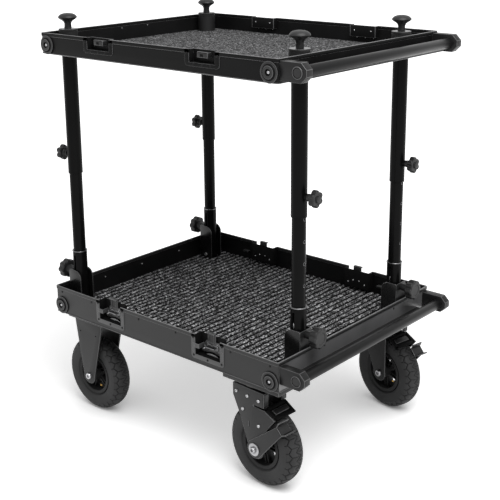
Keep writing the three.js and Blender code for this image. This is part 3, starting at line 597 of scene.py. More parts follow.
# %% The dishes' flanges, boxes and ribs
dish_sheet = 1.5 * mm
flange_width, flange_corner = 105 * mm, 9 * mm
rib_half, rib_stand, rib_sunk = 2.4 * mm, 0.5 * mm, 0.6 * mm
rib_foot, rib_head_share = 8 * mm, 0.42


def dish_flange(width, height, flange_height):
    half, outer, r = width / 2, flange_width / 2, flange_corner
    outline = [(-outer, 0), *arc((r - outer, r - flange_height), r, 180, 270, 6)]
    outline += [*arc((outer - r, r - flange_height), r, 270, 360, 6), (outer, 0)]
    outline += [(half, 0), (half, -height), (-half, -height), (-half, 0)]
    return put(plate(outline, hem_stand, edge=flange_edge), (0, hem_stand, 0), STAND)


def dish_box(width, height, depth):
    half, back, s = width / 2, hem_stand + depth, dish_sheet
    return together(
        block((-half - s, hem_stand, -height - s), (-half, back + s, 0)),
        block((half, hem_stand, -height - s), (half + s, back + s, 0)),
        block((-half, back, -height - s), (half, back + s, 0)),
        block((-half, hem_stand, -height - s), (half, back, -height)),
    )


def side_ribs(width, height):
    middle = (width / 2 + flange_width / 2) / 2
    low, high = -height + rib_foot, -height * rib_head_share
    return together(*[
        block(
            (s * middle - rib_half, -rib_stand, low), (s * middle + rib_half, rib_sunk, high),
            fine_edge, soft_steps,
        )
        for s in (-1, 1)
    ])


# %% Put the dishes and their rivets in the walls
latch_flange_height, latch_rib_height, keeper_flange_height = 62 * mm, 54 * mm, 38 * mm
latch_rivets = in_mm((-46.5, -9), (46.5, -9), (-45, -54), (0, -56.5), (45, -54))
keeper_rivets = in_mm((-46, -10), (46, -10), (-26, -33.5), (0, -33.5), (26, -33.5))


def place_on_wall(shape, x, y, inward, rim):
    return put(shape, (x, y, rim), MIRROR_Y if inward < 0 else None)


for name, (x, y, inward) in latch_places.items():
    # The dish's box is painted near-black: painted shade inside the recess.
    dish = together(
        dish_flange(recess_width, recess_height, latch_flange_height),
        paint(dish_box(recess_width, recess_height, recess_depth), 2),
        side_ribs(recess_width, latch_rib_height),
    )
    piece(f"latch_dish_{name}", place_on_wall(dish, x, y, inward, lower_rim),
          [dish_coat, highlight_edge_coat, painted_shade_coat], "base")
    piece(f"latch_rivets_{name}", place_on_wall(rivets_at(latch_rivets), x, y, inward, lower_rim), rivet_coat,
          "base")
    keeper = together(
        dish_flange(keeper_width, keeper_height, keeper_flange_height),
        dish_box(keeper_width, keeper_height, keeper_depth),
    )
    piece(f"keeper_dish_{name}", place_on_wall(keeper, x, y, inward, upper_rim), shaded_upper_coat, "upper_deck")
    piece(f"keeper_rivets_{name}", place_on_wall(rivets_at(keeper_rivets), x, y, inward, upper_rim),
          rivet_coat, "upper_deck")
print("pieces up to the dishes", len(made))

# %% The rivets' bright shanks, seen from inside the trays
shank_radius, shank_height = 1.9 * mm, 0.9 * mm
wall_inside, latch_back, keeper_back = (
    hem_stand + sheet, hem_stand + recess_depth + dish_sheet, hem_stand + keeper_depth + dish_sheet
)
keeper_shanks = [(x, wall_inside, z) for x, z in in_mm((-26, -33.5), (0, -33.5), (26, -33.5))]
keeper_shanks += [(x, keeper_back, z) for x, z in in_mm((-26, -14), (26, -14))]
latch_shanks = [(x, latch_back, z) for x, z in in_mm((-28, -38), (28, -38), (-10, -30), (10, -30))]


def shanks_at(places):
    return together(*[put(rivet(shank_radius, shank_height), place, MIRROR_Y) for place in places])


for name, (x, y, inward) in latch_places.items():
    piece(f"keeper_shanks_{name}", place_on_wall(shanks_at(keeper_shanks), x, y, inward, upper_rim), zinc,
          "upper_deck")
    piece(f"latch_shanks_{name}", place_on_wall(shanks_at(latch_shanks), x, y, inward, lower_rim), zinc,
          "base")
print("shanks", len(latch_places) * (len(keeper_shanks) + len(latch_shanks)))

# %% [markdown]
# In each latch dish a dark base plate carries the mechanism: a hook that stands above the rim, a bright
# curved spring at the bottom, bright studs, and the butterfly wing that a hand turns. The wing turns on
# its own body, so it is a piece of its own, and the rest stays in the dish.

# %% The latch's base plate
plate_back = hem_stand + recess_depth
base_sheet, base_top, base_low, base_half_top, base_half_low = 3 * mm, -15 * mm, -47 * mm, 19 * mm, 36 * mm
base_corner, base_bow_drop, base_bow_radius = 7 * mm, 22 * mm, 27 * mm
stud_sunk, stud_height = 3 * mm, 1.6 * mm
large_stud, middle_stud, small_stud = 3.4 * mm, 2.4 * mm, 2.2 * mm
studs = {large_stud: in_mm((-28, -39), (28, -39)), small_stud: in_mm((-15, -20), (15, -20))}
studs[middle_stud] = in_mm((-24, -30), (24, -30))
slot_middle, slot_half, slot_low, slot_high = 13 * mm, 2.5 * mm, -38 * mm, -24 * mm
slot_out, slot_in = 3.6 * mm, 2 * mm


def base_plate():
    r = base_corner
    outline = [(-base_half_top, base_top), *arc((-base_half_low + r, base_low + r), r, 160, 270, 5)]
    outline += [*arc((0, base_low - base_bow_drop), base_bow_radius, 112, 68, 6)]
    outline += [*arc((base_half_low - r, base_low + r), r, 270, 380, 5), (base_half_top, base_top)]
    return put(plate(outline, base_sheet), (0, plate_back, 0), STAND)


def plate_studs():
    heads = [
        put(rivet(radius, stud_height), (x, plate_back - stud_sunk, z))
        for radius, places in studs.items() for x, z in places
    ]
    return paint(together(*heads), 2)


def plate_slots():
    slots = [
        block(
            (s * slot_middle - slot_half, plate_back - slot_out, slot_low),
            (s * slot_middle + slot_half, plate_back - slot_in, slot_high), hair_edge,
        )
        for s in (-1, 1)
    ]
    # The slots are near-black blocks standing on the plate: painted shade.
    return paint(together(*slots), 3)


# %% The lobe that reaches over the flange
lobe_left, lobe_right, lobe_low, lobe_high = -44 * mm, -27 * mm, -34 * mm, -23 * mm
lobe_out, lobe_in, bridge_width, bridge_start = 0.8 * mm, 1.4 * mm, 2 * mm, 0.6 * mm
lobe_stud_place, lobe_stud_height = in_mm((-38, -0.7, -28))[0], 0.8 * mm


def latch_lobe():
    lobe = block(
        (lobe_left, -lobe_out, lobe_low), (lobe_right, lobe_in, lobe_high), block_edge, soft_steps
    )
    bridge = block(
        (lobe_right - bridge_width, bridge_start, lobe_low),
        (lobe_right, plate_back - bridge_width, lobe_high), thin_edge,
    )
    return together(lobe, bridge, put(rivet(small_stud, lobe_stud_height), lobe_stud_place))


# %% The latch's hook and spring
hook_half, hook_low, hook_high, hook_nose_low = 13 * mm, -16 * mm, 10 * mm, 7 * mm
hook_face, hook_back, nose_reach, nose_edge = 6 * mm, 3.4 * mm, 12 * mm, 0.9 * mm
hook_rib_middle, hook_rib_half, hook_rib_low, hook_rib_high = 8 * mm, 1.5 * mm, -14 * mm, 5 * mm
hook_rib_face, hook_rib_back = 7.2 * mm, 5 * mm
spring_sheet, spring_stand = 1.2 * mm, 4 * mm
spring_middle, spring_radius = -90 * mm, 44 * mm
spring_inner_middle, spring_inner_radius = -91 * mm, 38.5 * mm
spring_start, spring_end = 118, 62
spring_stud, spring_stud_height, spring_stud_x, spring_stud_z = 2 * mm, 1 * mm, 5 * mm, -48.8 * mm


def latch_hook():
    back = plate_back - hook_back
    tongue = block((-hook_half, plate_back - hook_face, hook_low), (hook_half, back, hook_high), block_edge)
    nose = block(
        (-hook_half, plate_back - nose_reach, hook_nose_low), (hook_half, back, hook_high), nose_edge,
        soft_steps,
    )
    ribs = [
        block(
            (s * hook_rib_middle - hook_rib_half, plate_back - hook_rib_face, hook_rib_low),
            (s * hook_rib_middle + hook_rib_half, plate_back - hook_rib_back, hook_rib_high), block_edge,
        )
        for s in (-1, 1)
    ]
    return together(tongue, nose, *ribs)


def latch_spring():
    outer = arc((0, spring_middle), spring_radius, spring_start, spring_end, 10)
    inner = arc((0, spring_inner_middle), spring_inner_radius, spring_end, spring_start, 10)
    strip = put(plate([*outer, *inner], spring_sheet, hair_edge), (0, plate_back - spring_stand, 0), STAND)
    stud_y = plate_back - spring_stand - spring_sheet
    heads = [
        put(rivet(spring_stud, spring_stud_height), (x, stud_y, spring_stud_z))
        for x in (-spring_stud_x, spring_stud_x)
    ]
    return together(strip, *heads)


# %% The butterfly wing
wing_sheet, wing_reach, wing_lobe = 2.6 * mm, 13.5 * mm, 7.6 * mm
wing_waist, wing_waist_away = 13.5 * mm, 19 * mm
fold_half, fold_out, fold_in, fold_half_thick, fold_edge = 14 * mm, 11.6 * mm, 2 * mm, 1.4 * mm, 1.1 * mm
pivot_ring = in_mm((3.6, 2.4), (5.2, 2.4), (5.6, 3.6), (4.4, 4.4), (3.4, 3.8))
pivot_stud, pivot_stud_height = 2.6 * mm, 3.6 * mm


def butterfly():
    """The wing about its own pivot at the recess's middle, facing -Y."""
    reach, lobe = wing_reach, wing_lobe
    outline = [*arc((reach, 0), lobe, -115, 115, 10), *arc((0, wing_waist_away), wing_waist, 297, 243, 5)]
    outline += [*arc((-reach, 0), lobe, 65, 295, 10), *arc((0, -wing_waist_away), wing_waist, 117, 63, 5)]
    foot = put(plate(outline, wing_sheet, block_edge, soft_steps), turn=STAND)
    fold = block(
        (-fold_half, -fold_out, -fold_half_thick), (fold_half, -fold_in, fold_half_thick),
        fold_edge, soft_steps,
    )
    pivot = put(turned(pivot_ring, 24, closed=True), turn=FACE_NEAR)
    stud = put(rod(pivot_stud, 0, pivot_stud_height, 20), turn=FACE_NEAR)
    return together(foot, fold, pivot, stud)


# %% Put the latches in their dishes
for name, (x, y, inward) in latch_places.items():
    mechanism = together(base_plate(), plate_studs(), plate_slots(), latch_lobe())
    fixed = {
        "plate": (mechanism, [latch_black, highlight_edge_coat, worn_steel, painted_shade_coat], "frame_black"),
        "hook": (latch_hook(), frame_coat, "frame_black"),
        "spring": (latch_spring(), worn_steel, "bright_steel"),
    }
    for word, (shape, finish, slot) in fixed.items():
        piece(f"latch_{word}_{name}", place_on_wall(shape, x, y, inward, lower_rim), finish, "base")
    low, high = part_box(f"latch_wing_{name}")
    seat = high.y if inward > 0 else low.y
    wing = put(butterfly(), (x, seat, (low.z + high.z) / 2), MIRROR_Y if inward < 0 else None)
    piece(f"latch_butterfly_{name}", wing, dark_steel, f"latch_{name}", f"latch_wing_{name}")
print("latches", len(latch_places))

# %% [markdown]
# A keeper is only a bridge across its dish, with a slot that the hook goes into. A folded plate with a
# lip along its top reads as the real bridge, and a near-black block on its face stands for the slot, as
# painted shade.

# %% The keepers' bridges
bridge_half, bridge_top, bridge_foot, bridge_lip = 15 * mm, -4 * mm, -17 * mm, -5 * mm
bridge_sheet, bridge_out, bridge_in = 2 * mm, hem_stand + 1 * mm, hem_stand + 3 * mm
cheek_half = 1 * mm
keeper_slot_low, keeper_slot_high = in_mm((-7, 0.6, -15))[0], in_mm((2, 1.4, -9))[0]


def keeper_bridge():
    back = hem_stand + keeper_depth
    face = block(
        (-bridge_half, bridge_out, bridge_foot), (bridge_half, bridge_in, bridge_top), plate_edge, soft_steps
    )
    top = block(
        (-bridge_half, bridge_out, bridge_lip - bridge_sheet), (bridge_half, back, bridge_lip), plate_edge,
        soft_steps,
    )
    cheeks = [
        block((x - cheek_half, bridge_out, bridge_foot), (x + cheek_half, back, bridge_lip))
        for x in (-bridge_half, bridge_half)
    ]
    return together(face, top, *cheeks)


def keeper_slot():
    # A near-black block on the bridge's face: painted shade where the slot is.
    return put(block(keeper_slot_low, keeper_slot_high, hair_edge), (0, hem_stand, 0))


for name, (x, y, inward) in latch_places.items():
    piece(f"keeper_bridge_{name}", place_on_wall(keeper_bridge(), x, y, inward, upper_rim), frame_coat,
          "upper_deck")
    piece(f"keeper_slot_{name}", place_on_wall(keeper_slot(), x, y, inward, upper_rim), painted_shade_coat,
          "upper_deck")
print("keepers", len(latch_places))

# %% [markdown]
# Round bumpers stand off the ends of the long walls. The real ones are moulded with a rounded shoulder
# and a groove, and a bright screw sits deep in the middle. A turned profile gives all of that at once.

# %% Bumpers
bumper_radius, bumper_thick, bumper_inset = 24 * mm, 7 * mm, 24 * mm
bumper_step, bumper_foot = bumper_thick - 3.6 * mm, -0.8 * mm
bumper_well = in_mm((6.6, 3), (6.8, 6.2), (7.6, 7), (13.4, 7), (14.4, 6.3))
bumper_ring = in_mm((18.4, 4), (19, 3.4))
well_reach, ring_reach, slope_reach = 7.3 * mm, 14.4 * mm, 18.5 * mm
lip_reach, side_reach, ring_start = 1.2 * mm, 0.3 * mm, 13.4 * mm


def bumper_shade_and_highlight(reach):
    """Which finish a bumper's face has at a distance from its middle: painted shade (2) in the
    well, on the slope and on the side, and a painted highlight (1) on a ring and at the rim.
    """
    if reach < well_reach or ring_reach < reach < slope_reach or reach > bumper_radius - side_reach:
        return 2
    if ring_start < reach < ring_reach or reach > bumper_radius - lip_reach:
        return 1
    return 0


def bumper():
    r, step = bumper_radius, bumper_step
    profile = [(0, bumper_well[0][1]), *bumper_well, *bumper_ring, (r - 1.4 * mm, step)]
    profile += [(r - 0.4 * mm, step - 0.5 * mm), (r, step - 1.4 * mm), (r, bumper_foot), (0, bumper_foot)]
    shape = turned(profile, 64)
    for face in shape.faces:
        face.material_index = bumper_shade_and_highlight(face.calc_center_median().xy.length)
    return put(shape, turn=FACE_NEAR)


screw_outline = in_mm((0, 3.6), (1.2, 3.6), (1.4, 5), (3, 5), (3.4, 4.5), (3.4, 3))


def bumper_screw():
    return put(turned(screw_outline, 24), turn=FACE_NEAR)


lower_bumper_drop, upper_bumper_drop = 51 * mm, 30 * mm
bumper_levels = {
    "lower": (lower_rim - lower_bumper_drop, "base"), "upper": (upper_rim - upper_bumper_drop, "upper_deck")
}
for word, (level, body) in bumper_levels.items():
    for side, y, inward in (("near", near_side, 1), ("far", far_side, -1)):
        for end, x in (("left", left_end + bumper_inset), ("right", right_end - bumper_inset)):
            turn = MIRROR_Y if inward < 0 else None
            place = (x, y + inward * hem_stand, level)
            piece(f"{word}_bumper_{side}_{end}", put(bumper(), place, turn),
                  [bumper_skin, soft_highlight_edge, painted_shade_coat], body)
            piece(f"{word}_bumper_screw_{side}_{end}", put(bumper_screw(), place, turn), zinc, body)
print("pieces up to the bumpers", len(made))

# %% [markdown]
# Small screws run along the walls, where the floor board and the corners are held. They are plain domed
# heads, dark on the outside and a little brighter inside, placed where the photograph shows them.

# %% Wall screws
near_screws_x = [25 * mm, 144 * mm, 323 * mm, 453 * mm, 632 * mm, 751 * mm]
end_screws_y = [174 * mm, 470 * mm]
inner_screws_y = [174 * mm, 316 * mm, 470 * mm]
upper_inner_screws_y = [274 * mm, 370 * mm]
screw_drop, inner_drop, upper_inner_drop = 14.5 * mm, 25 * mm, 14 * mm
outer_screw, inner_screw = 3 * mm, 2.2 * mm
inner_face = left_end + hem_stand + sheet


def screws(radius, places, turn=None):
    return [put(rivet(radius), place, turn) for place in places]


outside_level = lower_rim - screw_drop
near_places = [(left_end + x, near_side + hem_stand, outside_level) for x in near_screws_x]
far_places = [(left_end + x, far_side - hem_stand, outside_level) for x in near_screws_x]
end_places = [(right_end - hem_stand, near_side + y, outside_level) for y in end_screws_y]
inner_places = [(inner_face, near_side + y, lower_rim - inner_drop) for y in inner_screws_y]
upper_inner_places = [(inner_face, near_side + y, upper_rim - upper_inner_drop) for y in upper_inner_screws_y]
outside = [
    *screws(outer_screw, near_places), *screws(outer_screw, far_places, MIRROR_Y),
    *screws(outer_screw, end_places, TO_RIGHT),
]
piece("wall_screws", together(*outside), rivet_coat, "base")
piece("inner_wall_screws", together(*screws(inner_screw, inner_places, TO_RIGHT)), zinc, "base")
piece("upper_inner_screws", together(*screws(inner_screw, upper_inner_places, TO_RIGHT)), worn_steel,
      "upper_deck")
print("wall screws", len(near_places + far_places + end_places + inner_places + upper_inner_places))

# %% [markdown]
# Four small tabs stand off the long walls inside the lower tray, level with two of the screws. They are
# plain folded blocks, and only their tops are painted lighter: painted light on the faces that face up.

# %% Tabs inside the long walls
tab_width, tab_depth, tab_thick, tab_drop = 20 * mm, 12 * mm, 5 * mm, 33 * mm
tab_top = lower_rim - tab_drop


def tab(x, y, inward):
    start = y + inward * (hem_stand + sheet)
    low_y, high_y = sorted((start, start + inward * tab_depth))
    shape = block((x - tab_width / 2, low_y, tab_top - tab_thick), (x + tab_width / 2, high_y, tab_top))
    shape.normal_update()
    # The tops take material 1: painted light.
    return paint(shape, 1, lambda face: face.normal.z > nearly_flat)


tabs = [
    tab(left_end + x, y, inward)
    for x in (near_screws_x[1], near_screws_x[4]) for y, inward in ((near_side, 1), (far_side, -1))
]
print("tabs", len(tabs))
piece("inner_wall_tabs", together(*tabs), arm_coat, "base")

# %% [markdown]
# The lower floor has a ribbed loop carpet. Its ribs run across the cart, and they are deep enough to
# throw shadows, so they are real waves in a fine grid, and the loops between them come from the finish.
# The valleys between the ribs are painted darker as well: painted shade.
# The upper floor has a flatter speckled pile, so a slightly wavy slab is enough there.

# %% A pattern of cells
def cells(nodes, links, place, size, stretch):
    """A cell pattern, each cell with its own random shade."""
    mapping = nodes.new("ShaderNodeMapping")
    mapping.inputs["Scale"].default_value = stretch
    links.new(place, mapping.inputs["Vector"])
    pattern = nodes.new("ShaderNodeTexVoronoi")
    pattern.inputs["Scale"].default_value = 1 / size
    links.new(mapping.outputs["Vector"], pattern.inputs["Vector"])
    split = nodes.new("ShaderNodeSeparateColor")
    links.new(pattern.outputs["Color"], split.inputs["Color"])
    return pattern.outputs["Distance"], split.outputs["Red"]


# %% Carpet finish
carpet_roughness, carpet_specular = 0.95, 0.1
loop_light_and_shade = (0, 0.8, 1.2, 0.3)
tuft_shades = (0.15, 0.85, 0.5, 1.5)
tuft_edge_light_and_shade = (0.25, 0.7, 1.15, 0.45)


def carpet(name, dark, pale, fleck_share, stretch, loop_size, tuft_size, depth):
    """Tufts of fibre loops, each with its own shade, and pale flecks over a dark ground."""
    material = bpy.data.materials.new(name)
    material.use_nodes = True
    nodes, links = material.node_tree.nodes, material.node_tree.links
    shader = nodes["Principled BSDF"]
    shader.inputs["Roughness"].default_value = carpet_roughness
    shader.inputs["Specular IOR Level"].default_value = carpet_specular
    place = nodes.new("ShaderNodeTexCoord").outputs["Object"]
    loop_depth, loop_shade = cells(nodes, links, place, loop_size, stretch)
    tuft_depth, tuft_shade = cells(nodes, links, place, tuft_size, stretch)
    fleck = nodes.new("ShaderNodeValToRGB")
    ground, tip = fleck.color_ramp.elements
    ground.position, tip.position = 1 - fleck_share, 1 - fleck_share / 3
    ground.color, tip.color = (*dark, 1), (*pale, 1)
    links.new(loop_shade, fleck.inputs["Fac"])
    colour = fleck.outputs["Color"]
    # Each loop and tuft is painted lighter in its middle and darker at its edge: painted light and shade. The
    # tone of each tuft and the pale flecks are the carpet's own colour.
    layers = ((loop_depth, loop_light_and_shade), (tuft_shade, tuft_shades), (tuft_depth, tuft_edge_light_and_shade))
    for value, shades in layers:
        colour = multiplied(nodes, links, colour, spread_out(nodes, links, value, *shades))
    links.new(colour, shader.inputs["Base Color"])
    bump = nodes.new("ShaderNodeBump")
    bump.inputs["Strength"].default_value = 1.0
    bump.inputs["Distance"].default_value = depth
    bump.invert = True
    links.new(tuft_depth, bump.inputs["Height"])
    links.new(bump.outputs["Normal"], shader.inputs["Normal"])
    return material


# %% Painted shade in the valleys between the ribs
valley_shades = (0.36, 0.72, 0.02, 1.35)


def paint_valley_shade(material, pitch, start):
    """Paints shade into the valleys between ribs that run along Y, by darkening them."""
    nodes, links = material.node_tree.nodes, material.node_tree.links
    colour = nodes["Principled BSDF"].inputs["Base Color"]
    place = nodes.new("ShaderNodeTexCoord").outputs["Object"]
    split = nodes.new("ShaderNodeSeparateXYZ")
    links.new(place, split.inputs["Vector"])
    phase = nodes.new("ShaderNodeMath")
    phase.operation = "MULTIPLY_ADD"
    phase.inputs[1].default_value = pi / pitch
    phase.inputs[2].default_value = -start * pi / pitch
    links.new(split.outputs["X"], phase.inputs[0])
    wave, height = nodes.new("ShaderNodeMath"), nodes.new("ShaderNodeMath")
    wave.operation, height.operation = "SINE", "ABSOLUTE"
    links.new(phase.outputs["Value"], wave.inputs[0])
    links.new(wave.outputs["Value"], height.inputs[0])
    shade = spread_out(nodes, links, height.outputs["Value"], *valley_shades)
    links.new(multiplied(nodes, links, colour.links[0].from_socket, shade), colour)
    return material


rib_pitch, rib_height = 18.5 * mm, 4.6 * mm
ribbed_carpet = carpet(
    "ribbed loop carpet", grey(0.035), grey(0.6), fleck_share=0.7, stretch=(1, 0.75, 1),
    loop_size=2.7 * mm, tuft_size=5.5 * mm, depth=1.6 * mm,
)
paint_valley_shade(ribbed_carpet, rib_pitch, left_end)
pile_carpet = carpet(
    "speckled pile carpet", grey(0.03), grey(0.34), fleck_share=0.7, stretch=(1, 1, 1),
    loop_size=3 * mm, tuft_size=5 * mm, depth=0.8 * mm,
)
print("carpets", ribbed_carpet.name, "and", pile_carpet.name)

# %% A slab of carpet
def carpet_slab(node, across, along, height_at):
    low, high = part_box(node)
    shape = bmesh.new()
    bmesh.ops.create_grid(shape, x_segments=along, y_segments=across, size=0.5)
    bmesh.ops.scale(shape, vec=(high.x - low.x, high.y - low.y, 1), verts=shape.verts)
    bmesh.ops.translate(shape, vec=((low.x + high.x) / 2, (low.y + high.y) / 2, high.z), verts=shape.verts)
    for vertex in shape.verts:
        vertex.co.z += height_at(vertex.co.x, vertex.co.y)
    rim_edges = [e for e in shape.edges if e.is_boundary]
    skirt = bmesh.ops.extrude_edge_only(shape, edges=rim_edges)["geom"]
    for vertex in (v for v in skirt if isinstance(v, bmesh.types.BMVert)):
        vertex.co.z = low.z
    bmesh.ops.contextual_create(shape, geom=[e for e in shape.edges if e.is_boundary])
    bmesh.ops.recalc_face_normals(shape, faces=shape.faces)
    return shape


# %% Ribs on the lower floor, and a flatter pile on the upper one
rib_sharpness, rib_wander, rib_wander_share = 1.4, 0.08, 0.5
rib_waves, pile_waves = (61, 9, 23), (83, 5, 71)
rib_grid, pile_grid = (40, 420), (60, 80)
pile_depth = 0.4 * mm
fine_angle = 80


def rib_at(x, y):
    wave = abs(sin(pi * (x - left_end) / rib_pitch))
    along, lean, slow = rib_waves
    wander = rib_wander * sin(along * y + lean * x) * sin(slow * y)
    return -rib_height * (1 - wave) ** rib_sharpness + wander * rib_height * wave * rib_wander_share


def pile_at(x, y):
    across, lean, along = pile_waves
    return -pile_depth * (1 + sin(across * x + lean * y) * sin(along * y)) / 2


lower_floor_pad = piece(
    "lower_ribbed_carpet", carpet_slab("lower_mat", *rib_grid, rib_at), ribbed_carpet, "base",
    "lower_mat", sharp=fine_angle,
)
upper_floor_pad = piece(
    "upper_pile_carpet", carpet_slab("upper_mat", *pile_grid, pile_at), pile_carpet, "upper_deck",
    "upper_mat", sharp=fine_angle,
)
print("carpet faces", len(lower_floor_pad.data.polygons), len(upper_floor_pad.data.polygons))

# %% [markdown]
# The four posts differ only in their place and in which way their knobs face. So each part of a post has
# one function, which makes it about the post's own axis with its knobs towards +X, and it is mirrored for
# the left end.

# %% The posts' places
sleeve_radius, inner_radius, tube_wall = 19 * mm, 16.7 * mm, 2 * mm
sleeve_rise, hole_pitch = 94 * mm, 53 * mm
sleeve_top = lower_rim + sleeve_rise
hole_steps = range(-4, 2)
posts = {}
for name in ("near_left", "far_left", "near_right", "far_right"):
    low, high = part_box(f"post_leg_{name}")
    outward = -1 if name.endswith("left") else 1
    posts[name] = (Vector(((low.x + high.x) / 2, (low.y + high.y) / 2, 0)), outward)
leg_low, leg_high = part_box("post_leg_near_left")
tube_low, tube_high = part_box("post_outer_tube_near_left")
clamp_height = sum(corner.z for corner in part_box("clamp_knob_near_left")) / 2
base_clamp_height = sum(corner.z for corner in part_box("base_knob_near_left")) / 2
print("posts", {name: [round(v, 3) for v in centre.xy] for name, (centre, outward) in posts.items()})


def facing(shape, post):
    """Puts a shape made about a post's axis at that post, mirrored at the left end."""
    centre, outward = posts[post]
    return put(shape, centre, MIRROR_X if outward < 0 else None)


# %% A leg and its bright ring
leg_dome, leg_shoulder, leg_edge, leg_bore_depth = 4 * mm, 2.2 * mm, 0.6 * mm, 16 * mm
ring_radius, ring_height = 20.4 * mm, 2.4 * mm


def leg():
    foot, top, r = leg_low.z, leg_high.z, sleeve_radius
    shoulder, bore_radius = sleeve_top - leg_shoulder, inner_radius - tube_wall
    dome = [(r * cos(radians(a)), foot + leg_dome * (1 - sin(radians(a)))) for a in (80, 60, 40, 20, 0)]
    tube = [(inner_radius, shoulder), (inner_radius, top - leg_edge), (inner_radius - leg_edge, top)]
    bore = [(bore_radius, top), (bore_radius, shoulder - leg_bore_depth), (0, shoulder - leg_bore_depth)]
    return turned([(0, foot), *dome, (r, shoulder), *tube, *bore], 64)


def sleeve_ring():
    r, t = ring_radius, sleeve_top
    profile = [(inner_radius, t - ring_height), (r - 0.5 * mm, t - ring_height), (r, t - 1.9 * mm)]
    profile += [(r, t - 0.6 * mm), (r - 0.6 * mm, t), (inner_radius + 0.3 * mm, t)]
    profile += [(inner_radius, t - 0.4 * mm)]
    return turned(profile, 64, closed=True)


# %% The height holes with thin bright rims
hole_radius, hole_start, hole_end = 4 * mm, 5 * mm, 30 * mm
liner_profile = in_mm((3.2, 0), (3.9, 0), (3.9, 1.4), (3.2, 1.4))
liner_sunk = 1.6 * mm


def height_holes():
    return [
        put(put(rod(hole_radius, hole_start, hole_end, 24, edge=0), turn=FACE_X),
            (0, 0, clamp_height + step * hole_pitch))
        for step in hole_steps
    ]


def hole_liners():
    """Thin bright rims of the height holes."""
    return together(*[
        put(turned(liner_profile, 24, closed=True),
            (inner_radius - liner_sunk, 0, clamp_height + step * hole_pitch), FACE_X)
        for step in hole_steps
    ])


# %% The long slots in the sleeve, with a bright guide in their feet
slot_radius, slot_depth, slot_round = 3.5 * mm, 6 * mm, 0.9
slot_centre = 18 * mm
sleeve_slot_low, sleeve_slot_high = lower_rim + 36 * mm, lower_rim + 82 * mm
strip_left, strip_right, strip_centre, strip_half = -2.8 * mm, -0.8 * mm, 15.2 * mm, 0.8 * mm
strip_low, strip_high = lower_rim + 38 * mm, lower_rim + 55 * mm


def sleeve_slots():
    r, deep = slot_radius, slot_depth
    return [
        block((-r, s * slot_centre - deep, sleeve_slot_low), (r, s * slot_centre + deep, sleeve_slot_high),
              edge=r * slot_round, steps=4)
        for s in (-1, 1)
    ]


def slot_strips():
    return together(*[
        block((strip_left, s * strip_centre - strip_half, strip_low),
              (strip_right, s * strip_centre + strip_half, strip_high), hair_edge)
        for s in (-1, 1)
    ])


# %% Put the legs on the base
for name in posts:
    leg_piece = piece(f"leg_{name}", facing(leg(), name), tube_coat, "base", f"post_leg_{name}")
    carve(leg_piece, *[facing(cutter, name) for cutter in height_holes() + sleeve_slots()])
    piece(f"leg_ring_{name}", facing(sleeve_ring(), name), ring_steel, "base")
    piece(f"leg_hole_liners_{name}", facing(hole_liners(), name), worn_steel, "base")
    piece(f"leg_slot_strips_{name}", facing(slot_strips(), name), zinc, "base")
print("legs", len(posts), "faces in one", len(leg_piece.data.polygons))

# %% [markdown]
# The outer tubes slide on the legs and carry the upper tray. One closed profile gives the tube, its thin
# wall and the thick plug in its head. A boss for the clamp's screw stands out at the side, and a fine
# step marks where the tube ends over the leg.

# %% Outer tubes
tube_bore, plug_hole, plug_height = 17.1 * mm, 5 * mm, 14 * mm
boss_radius, boss_hole, boss_end, boss_root = 8 * mm, 4.5 * mm, 26 * mm, tube_bore + 1 * mm
step_inside, step_outside = sleeve_radius - 0.3 * mm, sleeve_radius + 0.25 * mm


def outer_tube():
    foot, head, r, bore = tube_low.z, tube_high.z, sleeve_radius, tube_bore
    wall = [(bore, foot + 0.6 * mm), (bore + 0.6 * mm, foot), (r - 0.8 * mm, foot), (r, foot + 0.8 * mm)]
    wall += [(r, head - 0.6 * mm), (r - 0.6 * mm, head), (plug_hole, head), (plug_hole, head - plug_height)]
    return turned([*wall, (bore, head - plug_height)], 64, closed=True)


def clamp_boss():
    ring = [(boss_radius, boss_root), (boss_radius, boss_end), (boss_hole, boss_end), (boss_hole, boss_root)]
    return put(turned(ring, 32, closed=True, edge=fine_edge), (0, 0, clamp_height), FACE_X)


def foot_step():
    """The thin step where the outer tube ends over the inner one."""
    foot = tube_low.z
    ring = [(step_inside, foot + 4 * mm), (step_outside, foot + 4.2 * mm)]
    ring += [(step_outside, foot + 5 * mm), (step_inside, foot + 5.2 * mm)]
    return turned(ring, 64, closed=True)


for name in posts:
    tube = together(outer_tube(), clamp_boss(), foot_step())
    piece(f"outer_tube_{name}", facing(tube, name), tube_coat, "upper_posts",
          f"post_outer_tube_{name}")
print("outer tubes", len(posts))

# %% [markdown]
# Three kinds of moulded knob hold the posts: a star knob on each clamp, a broad scalloped one at each
# foot, and a mushroom over each socket. They are all a round body whose edge swells into lobes. A turned
# shape is made first, and its vertices are then drawn in between the lobes by a cosine.

# %% Lobed knobs
def scallop(shape, lobes, depth, inner, outer):
    """Draws the shape in between its lobes, more the nearer a point is to the outer radius."""
    for vertex in shape.verts:
        radius = vertex.co.xy.length
        if radius > inner:
            share = min(1, (radius - inner) / (outer - inner))
            angle = atan2(vertex.co.y, vertex.co.x)
            draw = depth * share * (0.5 - 0.5 * cos(lobes * angle)) ** 1.5
            vertex.co.xy = vertex.co.xy * (1 - draw / radius)
    return shape


# %% A disc with round shoulders
disc_flat, disc_dish, disc_foot = (0.9, 0.72), (0.66, 0.3), 0.5


